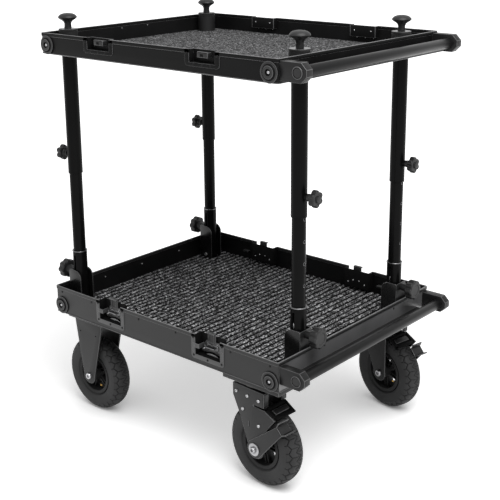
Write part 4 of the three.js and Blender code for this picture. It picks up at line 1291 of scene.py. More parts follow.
def rounded_disc(radius, low, high, shoulder, hollow):
    """A disc with round shoulders, and a shallow dish in its top face."""
    inner = radius - shoulder
    curve = [(inner + shoulder * cos(radians(a)), shoulder * sin(radians(a))) for a in range(0, 91, 15)]
    under = [(r, low + shoulder - z) for r, z in reversed(curve)]
    over = [(r, high - shoulder + z) for r, z in curve]
    middle = [(inner * share, high) for share in disc_flat]
    dish = [(inner * share, high - hollow) for share in disc_dish] + [(0, high - hollow)]
    return turned([(0, low), (inner * disc_foot, low), *under, *over, *middle, *dish], 96)


# %% The star knobs of the clamps
star_radius, star_shoulder, star_hollow = 20.6 * mm, 3.5 * mm, 0.8 * mm
star_lobes, star_lobe_depth, star_lobe_start = 6, 4.6 * mm, 8 * mm
star_low, star_high = 38.3 * mm, 53.3 * mm
star_hub = in_mm((0, 26.3), (8.6, 26.3), (9, 27.3), (8.4, 35.3), (11, 39.3), (0, 39.3))
star_cap = in_mm((0, 57.3), (4, 57.3), (7.6, 56.3), (8.6, 51.8), (0, 51.8))
screw_radius, clamp_screw_start, foot_screw_start, foot_screw_end = 4 * mm, 17.2 * mm, 14.2 * mm, 24 * mm
clamp_screw_end = 30 * mm


def star_knob():
    disc = rounded_disc(star_radius, star_low, star_high, star_shoulder, star_hollow)
    scallop(disc, star_lobes, star_lobe_depth, star_lobe_start, star_radius)
    knob = together(disc, turned(star_hub, 48), turned(star_cap, 48))
    return put(knob, (0, 0, clamp_height), FACE_X)


def clamp_screw():
    return put(rod(screw_radius, clamp_screw_start, clamp_screw_end, 24), (0, 0, clamp_height), FACE_X)


# %% The broad knobs at the posts' feet
foot_knob_radius, foot_knob_shoulder, foot_knob_hollow = 25.6 * mm, 4.5 * mm, 1.2 * mm
foot_knob_lobes, foot_knob_lobe_depth, foot_knob_lobe_start = 8, 3.4 * mm, 14 * mm
foot_knob_low, foot_knob_high = 47.1 * mm, 67.1 * mm
foot_knob_hub = in_mm((0, 22.6), (8.6, 22.6), (9, 23.6), (9.6, 32.6), (13.5, 48.1), (0, 48.1))


def foot_knob():
    disc = rounded_disc(foot_knob_radius, foot_knob_low, foot_knob_high, foot_knob_shoulder, foot_knob_hollow)
    scallop(disc, foot_knob_lobes, foot_knob_lobe_depth, foot_knob_lobe_start, foot_knob_radius)
    return put(together(disc, turned(foot_knob_hub, 48)), (0, 0, base_clamp_height), FACE_X)


def foot_screw():
    return put(rod(screw_radius, foot_screw_start, foot_screw_end, 24), (0, 0, base_clamp_height), FACE_X)


# %% The mushroom knobs
socket_rise, knob_gap = 7 * mm, 0.3 * mm
socket_top = upper_rim + socket_rise
stem_radius, stem_height, cap_radius = 9 * mm, 20 * mm, 24 * mm
cap_lobes, cap_lobe_depth, lobe_height, lobe_fade = 7, 2.6 * mm, 8 * mm, 5 * mm
dome_rise = 10.5 * mm


def mushroom():
    low, stem, cap = socket_top + knob_gap, stem_radius, cap_radius
    foot, top = low + stem_height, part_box("tray_knob_near_left")[1].z
    under = [(0, low), (stem, low), (stem + 0.3 * mm, low + 1 * mm), (stem - 0.4 * mm, foot - 8 * mm)]
    under += [(stem + 1.6 * mm, foot - 3 * mm), (stem + 5 * mm, foot)]
    over = [(cap - 4 * mm, foot + 3.5 * mm), (cap - 0.8 * mm, foot + 6 * mm)]
    over += [(cap, foot + 8.2 * mm), (cap - 0.6 * mm, foot + 10.4 * mm)]
    dome_foot, dome_radius = foot + dome_rise, cap - 2 * mm
    dome = [
        (dome_radius * cos(radians(a)), dome_foot + (top - dome_foot) * sin(radians(a)))
        for a in range(15, 90, 12)
    ]
    return turned([*under, *over, *dome, (0, top)], 96), foot


def lobes_under_the_cap(shape, foot):
    """Lifts the cap's underside between its lobes, less towards the stem and the dome."""
    for vertex in shape.verts:
        radius, height = vertex.co.xy.length, vertex.co.z - foot
        if radius > stem_radius + 1 * mm and height < lobe_height:
            share = min(1, (radius - stem_radius) / (cap_radius - stem_radius))
            share *= min(1, (lobe_height - height) / lobe_fade)
            wave = 0.5 - 0.5 * cos(cap_lobes * atan2(vertex.co.y, vertex.co.x))
            vertex.co.z += cap_lobe_depth * share * wave
    return shape


# %% Put the knobs on their own bodies
for name in posts:
    knobs = {
        "star_knob": (star_knob(), clamp_screw(), "clamp", "clamp_knob"),
        "foot_knob": (foot_knob(), foot_screw(), "base_clamp", "base_knob"),
    }
    for word, (knob, screw, body, node) in knobs.items():
        piece(f"{word}_{name}", facing(knob, name), knob_skin, f"{body}_{name}",
              f"{node}_{name}")
        piece(f"{word}_screw_{name}", facing(screw, name), worn_steel, f"{body}_{name}")
    knob = facing(lobes_under_the_cap(*mushroom()), name)
    piece(f"mushroom_knob_{name}", knob, knob_skin, f"tray_clamp_{name}", f"tray_knob_{name}")
print("knobs", 3 * len(posts))

# %% [markdown]
# A machined socket in the upper tray caps each post. Its top face is worn to bright metal where the
# mushroom knob is drawn down, and a groove runs round just below it. The tray's floor and its carpet
# are open under each socket, so that the leg can run up inside when the upper tray is low.

# %% Sockets
socket_radius, socket_bore, socket_roof, socket_foot = 24 * mm, 19.3 * mm, 5 * mm, 1 * mm
socket_hole, groove_radius, worn_depth = 4.5 * mm, 23.1 * mm, 0.2 * mm
lip_profile = in_mm((19.2, -0.6), (21.4, -0.6), (21.8, 0.4), (19.2, 0.4))


def socket():
    r, low, top, bore, roof = socket_radius, upper_floor + socket_foot, socket_top, socket_bore, socket_roof
    profile = [(bore, low), (r, low), (r, top - 6.4 * mm), (groove_radius, top - 6 * mm)]
    profile += [(groove_radius, top - 5 * mm), (r, top - 4.6 * mm), (r, top - 1 * mm), (r - 0.8 * mm, top)]
    profile += [(socket_hole, top), (socket_hole, top - roof), (bore, top - roof)]
    shape = turned(profile, 72, closed=True)
    return paint(shape, 1, lambda f: f.calc_center_median().z > top - worn_depth)


for name in posts:
    piece(f"socket_{name}", facing(socket(), name), [frame_coat, worn_steel], "upper_deck")
    lip = put(turned(lip_profile, 64, closed=True), (0, 0, upper_floor))
    piece(f"socket_lip_{name}", facing(lip, name), frame_coat, "upper_deck")
print("sockets", len(posts))

# %% The floor and the carpet opened under the sockets
hole_below, hole_above, hole_play = 10 * mm, 30 * mm, 0.3 * mm


def post_holes(radius):
    start, end = upper_floor - hole_below, upper_floor + hole_above
    return [facing(rod(radius, start, end, 64, edge=0), name) for name in posts]


carve(tray_pans["upper"], *post_holes(socket_bore))
carve(upper_floor_pad, *post_holes(socket_radius + hole_play))
print("faces in the upper carpet", len(upper_floor_pad.data.polygons))

# %% [markdown]
# Each leg pivots in a U-shaped bracket on the tray's floor, with rounded cheeks and an open inner side.
# The cheeks are plates from one outline, and the web and the foot are plain blocks with soft edges.

# %% Foot brackets
bracket_sheet, bracket_round, bracket_cut = 3 * mm, 22 * mm, 4 * mm
web_inset = 1 * mm
pivot_rise, pivot_head_radius, pivot_head_height = 22 * mm, 5.6 * mm, 1.4 * mm
bracket_low, bracket_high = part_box("base_bracket_near_right")
bracket_centre = posts["near_right"][0]
bracket_half = bracket_high.y - bracket_centre.y
foot_level = bracket_low.z


def foot_bracket():
    low, high, half, s, r = foot_level, bracket_high.z, bracket_half, bracket_sheet, bracket_round
    inner, web_out = bracket_low.x - bracket_centre.x, bracket_high.x - bracket_centre.x
    outline = [(inner, low), (web_out, low), (web_out, high - bracket_cut), (web_out - bracket_cut, high)]
    outline += arc((inner + r, high - r), r, 90, 180, 12)
    cheek = put(plate(outline, s, plate_edge, soft_steps), turn=STAND)
    cheeks = [put(cheek.copy(), (0, -half + s, 0)), put(cheek, (0, half, 0))]
    web = block(
        (web_out - s, -half + web_inset, low), (web_out, half - web_inset, high - web_inset), block_edge
    )
    foot = block((inner, -half, low), (web_out, half, low + s), block_edge)
    paint(web, 2, lambda face: face.material_index == 0)
    return together(*cheeks, web, foot)


def pivot_heads():
    return together(*[
        screw_head(pivot_head_radius, pivot_head_height, (0, s * bracket_half, foot_level + pivot_rise), s)
        for s in (-1, 1)
    ])


for name in posts:
    piece(f"foot_bracket_{name}", facing(foot_bracket(), name), [bracket_coat, soft_highlight_edge, frame_coat], "base",
          f"base_bracket_{name}")
    piece(f"pivot_heads_{name}", facing(pivot_heads(), name), zinc, "base")
print("brackets", len(posts))

# %% [markdown]
# A push bar is a tube between two thick arms with cut corners. Round plugs close its ends, and a flat
# plate runs below it from the tray's end wall, held by small bolts from underneath.

# %% Arms
arm_chamfer, arm_edge, arm_gap, band_gap = 14 * mm, 1 * mm, 0.4 * mm, 0.3 * mm


def arm_outline(word, rim):
    """The arm's cut corners, and a notch under the hem where the arm is as high as that."""
    low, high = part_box(f"{word}_handle_arm_near")
    cut, band_foot = arm_chamfer, rim - hem_height
    outline = [(low.x, low.z), (high.x - cut, low.z), (high.x, low.z + cut), (high.x, high.z - cut)]
    outline += [(high.x - cut, high.z)]
    if high.z > band_foot:
        notch = right_end + arm_gap
        return [*outline, (notch, high.z), (notch, band_foot - band_gap), (low.x, band_foot - band_gap)]
    return [*outline, (low.x, high.z)]


def add_arms(word, rim, body):
    for side in ("near", "far"):
        y0, y1 = (corner.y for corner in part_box(f"{word}_handle_arm_{side}"))
        arm = put(plate(arm_outline(word, rim), y1 - y0, arm_edge, soft_steps), (0, y1, 0), STAND)
        piece(f"{word}_arm_{side}", arm, arm_coat, body, f"{word}_handle_arm_{side}")


# %% Bars with a plug in each end
bar_radius, bar_sunk = 13 * mm, 6 * mm
plug_profile = in_mm((0, -0.6), (10, -0.6), (10.4, -1.6), (11.2, -1.6), (11.6, 0))
plug_profile += in_mm((12.8, 0), (13.4, -0.8), (13.4, -4), (0, -4))
plug_groove, plug_lip = (10 * mm, 11.5 * mm), (11.6 * mm, 13.3 * mm)


def bar_plug():
    plug = turned(plug_profile, 64)
    # The groove is painted near-black as shade, and the lip lighter as a highlight.
    for index, (start, end) in ((2, plug_groove), (1, plug_lip)):
        paint(plug, index, lambda face: start < face.calc_center_median().xy.length < end)
    return plug


def add_bar(word, body):
    low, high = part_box(f"{word}_push_bar")
    centre = (low + high) / 2
    grip = put(rod(bar_radius, low.y + bar_sunk, high.y - bar_sunk, 64), (centre.x, 0, centre.z), FACE_Y)
    piece(f"{word}_bar", grip, bar_coat, body, f"{word}_push_bar")
    for side, turn, y in (("near", FACE_NEAR, low.y), ("far", FACE_Y, high.y)):
        piece(f"{word}_bar_plug_{side}", put(bar_plug(), (centre.x, y, centre.z), turn),
              [knob_skin, soft_highlight_edge, painted_shade_coat], body)


# %% The plates below the bars
bolt_radius, bolt_height, bolt_from_edge, bolt_from_end = 4 * mm, 2.4 * mm, 12 * mm, 22 * mm


def add_bar_plate(word, body):
    low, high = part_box(f"{word}_bar_plate")
    shelf = block(low, high, bold_edge, soft_steps)
    bolts = [
        put(rod(bolt_radius, 0, bolt_height, 24, block_edge), (high.x - bolt_from_edge, y, low.z), FACE_DOWN)
        for y in (low.y + bolt_from_end, 0, high.y - bolt_from_end)
    ]
    piece(f"{word}_plate", together(shelf, *bolts), tray_coat, body, f"{word}_bar_plate")


for word, rim, body in (("lower", lower_rim, "base"), ("upper", upper_rim, "upper_deck")):
    add_arms(word, rim, body)
    add_bar(word, body)
    add_bar_plate(word, body)
print("pieces up to the push bars", len(made))

# %% [markdown]
# The wheels are inflated tyres on two-part black rims. The tyre's section is a squared ellipse, spun
# finely enough to carry a real tread: vertices are drawn in along zigzag grooves on the crown and the
# shoulders, and raised in a bead beside the rim. One tyre is made and used four times.

# %% The tread's grooves
wheel_radius, tyre_half = 101.6 * mm, 26.7 * mm
section_radius, section_half = 77.2 * mm, 24.4 * mm
side_power, crown_power = 0.72, 0.78
tread_count, groove_depth = 28, 2.2 * mm
crown_swing, crown_width = 0.1, 0.05
shoulder_middle, shoulder_swing, shoulder_width = 0.52, 0.13, 0.055
block_width, block_end, side_start, side_end, cross_share = 0.28, 0.39, 0.65, 0.84, 0.8


def squared(value, power):
    return copysign(abs(value) ** power, value)


def zigzag(turns):
    return 4 * abs(turns - int(turns) - 0.5) - 1


def groove(distance, width):
    return max(0.0, 1 - (distance / width) ** 2)


def tread_cut(across, angle):
    """How deep the tread is cut, 0 to 1, from the crown (0) to the widest side (1) and round the tyre."""
    turns = (angle / (2 * pi) + 1) * tread_count
    flank, shift = abs(across), 0.5 if across < 0 else 0
    wave = zigzag(turns + shift)
    crown = groove(across - crown_swing * zigzag(turns), crown_width)
    shoulder = groove(flank - shoulder_middle - shoulder_swing * wave, shoulder_width)
    block_cut = groove(wave + 1, block_width) if flank < block_end else 0
    side_cut = groove(wave - 1, block_width) if side_start < flank < side_end else 0
    return max(crown, shoulder, block_cut * cross_share, side_cut * cross_share)


print("at one angle the tread is cut", [round(tread_cut(share / 10, 0), 2) for share in range(-10, 11)])

# %% One tyre about its own axle along Y
tyre_steps, section_points = 504, 104
side_rings = in_mm((62.5, 2.6, 1.4), (66.4, 1.4, -0.7), (85, 1.4, 0.6))


def tyre_section():
    angles = [2 * pi * (i + 0.5) / section_points for i in range(section_points)]
    return [
        (section_radius + section_half * squared(cos(u), crown_power),
         tyre_half * squared(sin(u), side_power))
        for u in angles
    ]


def tyre():
    shape = turned(tyre_section(), tyre_steps, closed=True)
    cut_mark = shape.verts.layers.float.new("groove")
    for vertex in shape.verts:
        radius, side = vertex.co.xy.length, vertex.co.z / tyre_half
        if radius > section_radius:
            rise = squared((radius - section_radius) / section_half, 1 / crown_power)
            across = atan2(squared(side, 1 / side_power), rise) / (pi / 2)
            cut = tread_cut(across, atan2(vertex.co.y, vertex.co.x))
            outward = Vector((vertex.co.x, vertex.co.y, 0)).normalized() * cos(across * pi / 2)
            vertex.co -= (outward + Vector((0, 0, sin(across * pi / 2)))) * groove_depth * cut
            vertex[cut_mark] = cut
        stand = sum(groove(radius - middle, width) * height for middle, width, height in side_rings)
        vertex.co.z += copysign(stand, side)
    return put(shape, turn=FACE_Y)


# %% One rim with its hub and spokes
flange_radius, seat_radius, well_radius = 57.2 * mm, 53.6 * mm, 47 * mm
rim_face, rim_sheet = 23.4 * mm, 3 * mm
hub_profile = in_mm((6.4, -34.6), (13, -34.6), (17, -29.6), (17, 29.6), (13, 34.6), (6.4, 34.6))
spoke_count, spoke_start, spoke_end = 5, 13 * mm, well_radius + 1 * mm
spoke_lean, spoke_half, spoke_depth, web_half = 4.5 * mm, 1.4 * mm, 11 * mm, 1.6 * mm
drop_centre = in_mm((34, -1), (48, -1), (48, 1), (34, 1))


def rim_ring():
    flange, well, face = flange_radius, well_radius, rim_face
    half = [(well, face - 5 * mm), (well + 1.2 * mm, face - 1 * mm), (well + 3 * mm, face)]
    half += [(flange - 1 * mm, face), (flange, face - 1 * mm), (flange, face - rim_sheet)]
    half += [(seat_radius, face - rim_sheet - 0.6 * mm)]
    return turned([*half, *[(r, -z) for r, z in reversed(half)]], 96, closed=True)


def spoke():
    """Two ribs with a web between them, along X."""
    ribs = [
        block((spoke_start, lean - spoke_half, -spoke_depth), (spoke_end, lean + spoke_half, spoke_depth))
        for lean in (-spoke_lean, spoke_lean)
    ]
    web = block((spoke_start, -spoke_lean, -web_half), (spoke_end, spoke_lean, web_half), thin_edge)
    return together(*ribs, web)


def wheel_rim():
    turns = [Matrix.Rotation(2 * pi * i / spoke_count, 4, "Z") for i in range(spoke_count)]
    spokes = [put(spoke(), turn=turn) for turn in turns]
    hub, middle = turned(hub_profile, 48, closed=True), turned(drop_centre, 64, closed=True)
    return put(together(rim_ring(), hub, *spokes, middle), turn=FACE_Y)


# %% The valve, which leans out between two spokes
valve_place, valve_lean = in_mm((0, -6, -47))[0], radians(38)
valve_stem = in_mm((0, 0), (3.6, 0), (3.2, 6), (2.6, 9), (2.6, 10), (0, 10))
valve_tip = in_mm((0, 10), (2.2, 10), (2.4, 11), (2.4, 15), (1.8, 16.4), (0, 16.4))


def valve():
    shape = together(turned(valve_stem, 24), paint(turned(valve_tip, 24), 1))
    return put(shape, valve_place, Matrix.Rotation(valve_lean, 4, "X"))


# %% The four wheels on their bodies
def axle_frame(joint):
    """Where a wheel's axle is, and how far its caster is turned at rest."""
    axis = joints[joint]["axis"]
    return Matrix.Translation(joints[joint]["pos_m"]) @ Matrix.Rotation(atan2(-axis[0], axis[1]), 4, "Z")


tyre_angle = 50
wheels = {
    "fixed_near": ("fixed_wheel_near", "fixed_wheel_spin_near", -32),
    "fixed_far": ("fixed_wheel_far", "fixed_wheel_spin_far", 20),
    "caster_near": ("caster_wheel_near", "caster_wheel_spin_near", 75),
    "caster_far": ("caster_wheel_far", "caster_wheel_spin_far", -56),
}
model_tyre = tyre()
for name, (body, joint, valve_turn) in wheels.items():
    kind, side = name.split("_")
    spun = axle_frame(joint) @ Matrix.Rotation(radians(valve_turn), 4, "Y")
    piece(f"tyre_{name}", put(model_tyre.copy(), turn=spun), tyre_rubber, body,
          f"{kind}_tyre_{side}", sharp=tyre_angle)
    piece(f"rim_{name}", put(wheel_rim(), turn=spun), rim_skin, body, f"{kind}_rim_{side}")
    piece(f"valve_{name}", put(valve(), turn=spun), [knob_skin, brass], body)
print("wheels", len(wheels), "tyre faces", len(model_tyre.faces))
model_tyre.free()

# %% [markdown]
# The fixed forks are pressed from plate: two tapered cheeks under a crown. The outline of a cheek is
# straight lines that run into a round end about the axle, so it is drawn about the axle and turned up.

# %% Fixed forks
fork_inner, fork_sheet, crown_overlap = 35 * mm, 4 * mm, 1 * mm
axle_height = joints["fixed_wheel_spin_near"]["pos_m"][2]
under_tray = lower_floor - axle_height
mount_sheet, fork_radius, fork_shoulder, fork_bend = 10 * mm, 22 * mm, 14 * mm, 6 * mm
fork_back, fork_front = -46.5 * mm, 56.5 * mm
mount_back, mount_front, mount_half = -66.5 * mm, 67.5 * mm, 45 * mm


def cheek_pair(outline):
    cheek = put(plate(outline, fork_sheet, plate_edge, soft_steps), turn=STAND)
    return [put(cheek.copy(), (0, -fork_inner, 0)), put(cheek, (0, fork_inner + fork_sheet, 0))]


def fork_crown(back, front, top):
    """The sheet that joins a fork's cheeks."""
    half = fork_inner + crown_overlap
    return block((back, -half, top - fork_sheet), (front, half, top), block_edge)


def fixed_fork():
    top, bend = under_tray - mount_sheet, fork_bend
    outline = [*arc((0, 0), fork_radius, 172, 368, 18), (fork_front, top - fork_shoulder)]
    outline += [*arc((fork_front - bend, top - bend), bend, 0, 90, 5)]
    outline += [*arc((fork_back + bend, top - bend), bend, 90, 180, 5)]
    mount = block((mount_back, -mount_half, top), (mount_front, mount_half, under_tray), bold_edge)
    return together(*cheek_pair(outline), fork_crown(fork_back, fork_front, top), mount)


# %% Holes through the fixed forks, and their axle bolts
fork_hole_places = in_mm((-27.5, 124.5), (34.5, 124.5))
fork_hole_radius, fork_hole_reach = 2.2 * mm, fork_inner + 8 * mm
axle_radius, nut_radius, nut_height = 6 * mm, 9.2 * mm, 6 * mm


def fork_holes():
    return [
        put(rod(fork_hole_radius, -fork_hole_reach, fork_hole_reach, 20, edge=0), (x, 0, z), FACE_Y)
        for x, z in fork_hole_places
    ]


def fixed_axle():
    half = fork_inner + fork_sheet
    heads = [screw_head(nut_radius, nut_height, (0, s * half, 0), s) for s in (-1, 1)]
    return together(*heads, put(rod(axle_radius, -half, half, 32), turn=FACE_Y))


for side in ("near", "far"):
    home = axle_frame(f"fixed_wheel_spin_{side}")
    fork = piece(f"fixed_fork_plates_{side}", put(fixed_fork(), turn=home), frame_coat, "base",
                 f"fixed_fork_{side}")
    carve(fork, *[put(hole, turn=home) for hole in fork_holes()])
    piece(f"fixed_axle_bolt_{side}", put(fixed_axle(), turn=home), zinc, "base",
          f"fixed_axle_{side}")
print("fixed forks", 2, "with", len(fork_hole_places), "holes each")

# %% [markdown]
# A swivel fork has broader cheeks with a step at the front, where a slotted guard slopes out over the
# tyre, and bright bolts hold its two layers together. It is drawn about its axle and put on its body
# with the angle at which the caster rests. The outer cheek has a long slit and a beak over the guard.
# The inner one has a straight front edge, so that the guard is seen past it.

# %% The swivel fork's cheeks
crown_top, trail, crown_half = 147.6 * mm, 23 * mm, 50 * mm
guard_drop, guard_reach = 20 * mm, 34 * mm
front_edge, back_edge = crown_half - trail, -crown_half - trail
flange_drop, fork_flange_width = 36 * mm, 16 * mm
flange_foot = crown_top - flange_drop
tip = (front_edge + guard_reach, flange_foot - guard_drop)
cheek_radius, inner_cheek_radius = 25 * mm, 21 * mm
cheek_back = [(back_edge, crown_top), (back_edge, crown_top - 30 * mm), *in_mm((-51, 73.6))]
cheek_notch = in_mm((19, 39.6))[0]
slit_width, slit_length, slit_lip = 5 * mm, 31 * mm, 1.6 * mm


def outer_cheek():
    slit_end, low = front_edge - slit_length, flange_foot - slit_width
    outline = [*cheek_back, *arc((0, 0), cheek_radius, 170, 370, 18), cheek_notch, tip]
    outline += [(front_edge + slit_lip, low), (slit_end, low)]
    outline += [*arc((slit_end, low + slit_width / 2), slit_width / 2, 270, 90, 5)]
    outline += [(front_edge, flange_foot), (front_edge, crown_top)]
    return put(plate(outline, fork_sheet, plate_edge, soft_steps), (0, -fork_inner, 0), STAND)


def inner_cheek():
    front = inner_cheek_radius
    outline = [*cheek_back, *arc((0, 0), front, 170, 365, 18), (front, flange_foot)]
    outline += [(front_edge, flange_foot), (front_edge, crown_top)]
    cheek = plate(outline, fork_sheet, plate_edge, soft_steps)
    # The inner cheek's faces take the darker arm coat: painted shade on the side away from the light.
    paint(cheek, 3, lambda face: face.material_index == 0)
    return put(cheek, (0, fork_inner + fork_sheet, 0), STAND)


# %% A narrow slot in the outer cheek
cheek_face = -fork_inner - fork_sheet
cheek_slot_low, cheek_slot_high = 50 * mm, 64 * mm
cheek_slot_left, cheek_slot_right, bright_side = -22 * mm, -19.6 * mm, 1.4 * mm
slot_stand, side_stand, slot_sunk, slot_edge = 0.2 * mm, 0.3 * mm, 1 * mm, 0.1 * mm


def cheek_slot():
    """A slot set into the cheek's face: painted shade, with a painted highlight on one side."""
    dark = block(
        (cheek_slot_left, cheek_face - slot_stand, cheek_slot_low),
        (cheek_slot_right, cheek_face + slot_sunk, cheek_slot_high), slot_edge, 1,
    )
    side = block(
        (cheek_slot_left - bright_side, cheek_face - side_stand, cheek_slot_low),
        (cheek_slot_left, cheek_face + slot_sunk, cheek_slot_high), slot_edge, 1,
    )
    return together(paint(dark, 2), paint(side, 1))


# %% The guard over the tyre
guard_play, guard_border, guard_rail = 0.2 * mm, 7 * mm, 8 * mm
backing_overlap, rail_overlap, backing_sheet = 1 * mm, 2 * mm, 1.2 * mm
guard_bar_share, guard_bar_near, guard_bar_far, guard_bar_stand = (0.32, 0.66), 6 * mm, 3 * mm, 0.8 * mm


def guard():
    """A sloped frame over a backing sheet, with a bar across its opening.
    The frame and the backing are painted near-black: painted shade.
    """
    length, s = (guard_reach**2 + guard_drop**2) ** 0.5, fork_sheet
    half, border = fork_inner - guard_play, guard_border
    rails = [
        block((0, -half, -s), (guard_rail, half, 0), block_edge),
        block((length - guard_rail, -half, -s), (length, half, 0), block_edge),
        block((0, -half, -s), (length, -half + border, 0), block_edge),
        block((0, half - border, -s), (length, half, 0), block_edge),
    ]
    inside = half - border + backing_overlap
    start, end = guard_rail - rail_overlap, length - guard_rail + rail_overlap
    backing = block((start, -inside, -s), (end, inside, backing_sheet - s), 0)
    bar_start, bar_end = (length * share for share in guard_bar_share)
    bar = block(
        (bar_start, -half + border + guard_bar_near, -s),
        (bar_end, half - border - guard_bar_far, guard_bar_stand), bold_edge, soft_steps,
    )
    turn = Matrix.Rotation(atan2(guard_drop, guard_reach), 4, "Y")
    dark = [paint(part, 2) for part in (*rails, backing)]
    return put(together(*dark, bar), (front_edge, 0, flange_foot), turn)


# %% The whole swivel fork and its bolts
cheek_bolts = in_mm((-60.4, 129.4), (-25, 127.4), (11, 126.4), (-40, 89.4), (11, 62.4))
inner_cheek_bolts = cheek_bolts[:4]
cheek_bolt_radius, cheek_bolt_height = 4.1 * mm, 2.6 * mm


def swivel_fork():
    half, back = fork_inner + fork_sheet, front_edge - fork_sheet
    flanges = [
        block((back, y, flange_foot), (front_edge, y + fork_flange_width, crown_top), plate_edge)
        for y in (-half, half - fork_flange_width)
    ]
    crown = fork_crown(back_edge, front_edge, crown_top)
    return together(outer_cheek(), inner_cheek(), crown, *flanges, guard(), cheek_slot())


def fork_bolts():
    return together(*[
        screw_head(cheek_bolt_radius, cheek_bolt_height, (x, s * (fork_inner + fork_sheet), z), s)
        for s, places in ((-1, cheek_bolts), (1, inner_cheek_bolts)) for x, z in places
    ])


# %% [markdown]
# The brake pedal is a bent sheet that turns about the axle: an arm outside the fork, a pad across the
# tyre, and two lips for the foot. All its corners lie on circles about the axle, so it is drawn in angles.

# %% Brake pedal
pedal_gap, pad_clearance, pedal_hub, pad_width = 0.3 * mm, 3 * mm, 23 * mm, 35 * mm
pad_low, pad_high, lip_flare, lip_height = 37.5, 49.5, 1.4, 12 * mm
lip_spread = (1.5, 0.5)
pad_edge = 0.9 * mm
pad_radius = wheel_radius + pad_clearance
pad_outer = pad_radius + fork_sheet
pedal_face = cheek_face - pedal_gap


def on_circle(radius, angle):
    return arc((0, 0), radius, angle, angle, 1)[0]


def across_the_tyre(outline, edge):
    """A sheet as wide as the pad, from its outline seen along the axle."""
    place = (0, pedal_face + pad_width - fork_sheet, 0)
    return put(plate(outline, pad_width, edge, soft_steps), place, STAND)


def brake_pedal():
    middle = (pad_low + pad_high) / 2
    corners = [on_circle(pad_outer, angle) for angle in (pad_low, pad_high)]
    hub = arc((0, 0), pedal_hub, middle + 90, middle + 270, 20)
    arm = plate([*corners, *hub], fork_sheet, plate_edge, soft_steps)
    pad = [(pad_radius, pad_low), (pad_outer, pad_low), (pad_outer, pad_high), (pad_radius, pad_high)]
    lips = []
    for edge, flare in ((pad_high, lip_flare), (pad_low, -lip_flare)):
        inner = [on_circle(pad_radius, angle) for angle in (edge - flare, edge)]
        outer = [on_circle(pad_outer + lip_height, edge + flare * spread) for spread in lip_spread]
        lips.append(across_the_tyre([*inner, *outer], plate_edge))
    return together(
        put(arm, (0, pedal_face, 0), STAND),
        across_the_tyre([on_circle(*corner) for corner in pad], pad_edge), *lips,
    )


# %% The caster's axle, with its broad washer
washer_profile = in_mm((0, 3), (7, 3), (7.6, 2.2), (9.4, 2.2), (10, 3), (15, 3), (16, 2), (16, 0), (0, 0))
washer_start = pedal_face - fork_sheet - pedal_gap
cap_screw_radius, cap_screw_height, cap_screw_stand = 8 * mm, 6 * mm, 2.6 * mm


def axle_stack():
    half = fork_inner + fork_sheet
    return together(
        put(turned(washer_profile, 64), (0, washer_start, 0), FACE_NEAR),
        screw_head(cap_screw_radius, cap_screw_height, (0, washer_start - cap_screw_stand, 0), -1),
        screw_head(nut_radius, nut_height, (0, half, 0), 1),
        put(rod(axle_radius, washer_start, half, 32), turn=FACE_Y),
    )


# %% [markdown]
# Under the tray a plate carries the swivel's two ball races and the kingpin with its nut. They are out of
# sight for the most part, so one profile each is enough, with a groove where the races meet.

# %% Swivel mounts
race_gap, race_radius = 0.3 * mm, 38 * mm
mount_bolt_radius, mount_bolt_height, mount_bolt_inset = 6 * mm, 4 * mm, (12 * mm, 11 * mm)
race_low = axle_height + crown_top + race_gap
race_steps = in_mm((0, 0), (34, 0), (36, 1), (38, 3), (38, 5), (37, 5.6), (38, 6.4))
pin_radius, pin_nut_radius, pin_nut_height, pin_shoulder = 8 * mm, 14 * mm, 8.6 * mm, 0.2 * mm


def swivel_mount(side):
    low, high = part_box(f"caster_mount_{side}")
    centre = Vector(joints[f"caster_swivel_{side}"]["pos_m"])
    mount_plate = block((low.x, low.y, high.z - mount_sheet), (high.x, high.y, high.z), bold_edge)
    race_top, pin_top = high.z - mount_sheet + 1 * mm, race_low + 1 * mm
    race = [(r, race_low + rise) for r, rise in race_steps] + [(race_radius, race_top), (0, race_top)]
    nut_top = low.z + pin_nut_height
    pin = [(0, low.z), (pin_nut_radius, low.z), (pin_nut_radius, nut_top)]
    pin += [(pin_radius, nut_top + pin_shoulder), (pin_radius, pin_top), (0, pin_top)]
    in_x, in_y = mount_bolt_inset
    bolts = [
        put(rod(mount_bolt_radius, -mount_bolt_height, 0, 6, block_edge), (x, y, high.z - mount_sheet))
        for x in (low.x + in_x, high.x - in_x) for y in (low.y + in_y, high.y - in_y)
    ]
    turned_parts = put(together(turned(race, 64), turned(pin, 32)), (centre.x, centre.y, 0))
    return together(mount_plate, turned_parts, *bolts)


# %% Put the casters on their bodies
for side, mirror in (("near", Matrix.Identity(4)), ("far", MIRROR_Y)):
    home = axle_frame(f"caster_wheel_spin_{side}") @ mirror
    body = f"caster_{side}"
    piece(f"swivel_fork_plates_{side}", put(swivel_fork(), turn=home),
          [frame_coat, highlight_edge_coat, painted_shade_coat, arm_coat], body, f"caster_fork_{side}")
    piece(f"swivel_fork_bolts_{side}", put(fork_bolts(), turn=home), zinc, body)
    piece(f"caster_axle_stack_{side}", put(axle_stack(), turn=home), washer_steel, body,
          f"caster_axle_{side}")
    piece(f"brake_arm_{side}", put(brake_pedal(), turn=home), frame_coat, f"brake_{side}",
          f"brake_pedal_{side}")
    piece(f"swivel_mount_{side}", swivel_mount(side), frame_coat, "base",
          f"caster_mount_{side}")
print("pieces", len(made), "triangles", sum(len(p.vertices) - 2 for m in made for p in m.data.polygons))

# %% [markdown]
# The camera was worked out from the photograph by fitting the tray corners, the posts and the wheels. It
# stands about two and a half metres from the cart's middle, off its near right corner, and a little
# above the upper tray. The photograph keeps its uprights nearly parallel, as a lens does that is shifted
# down a little.

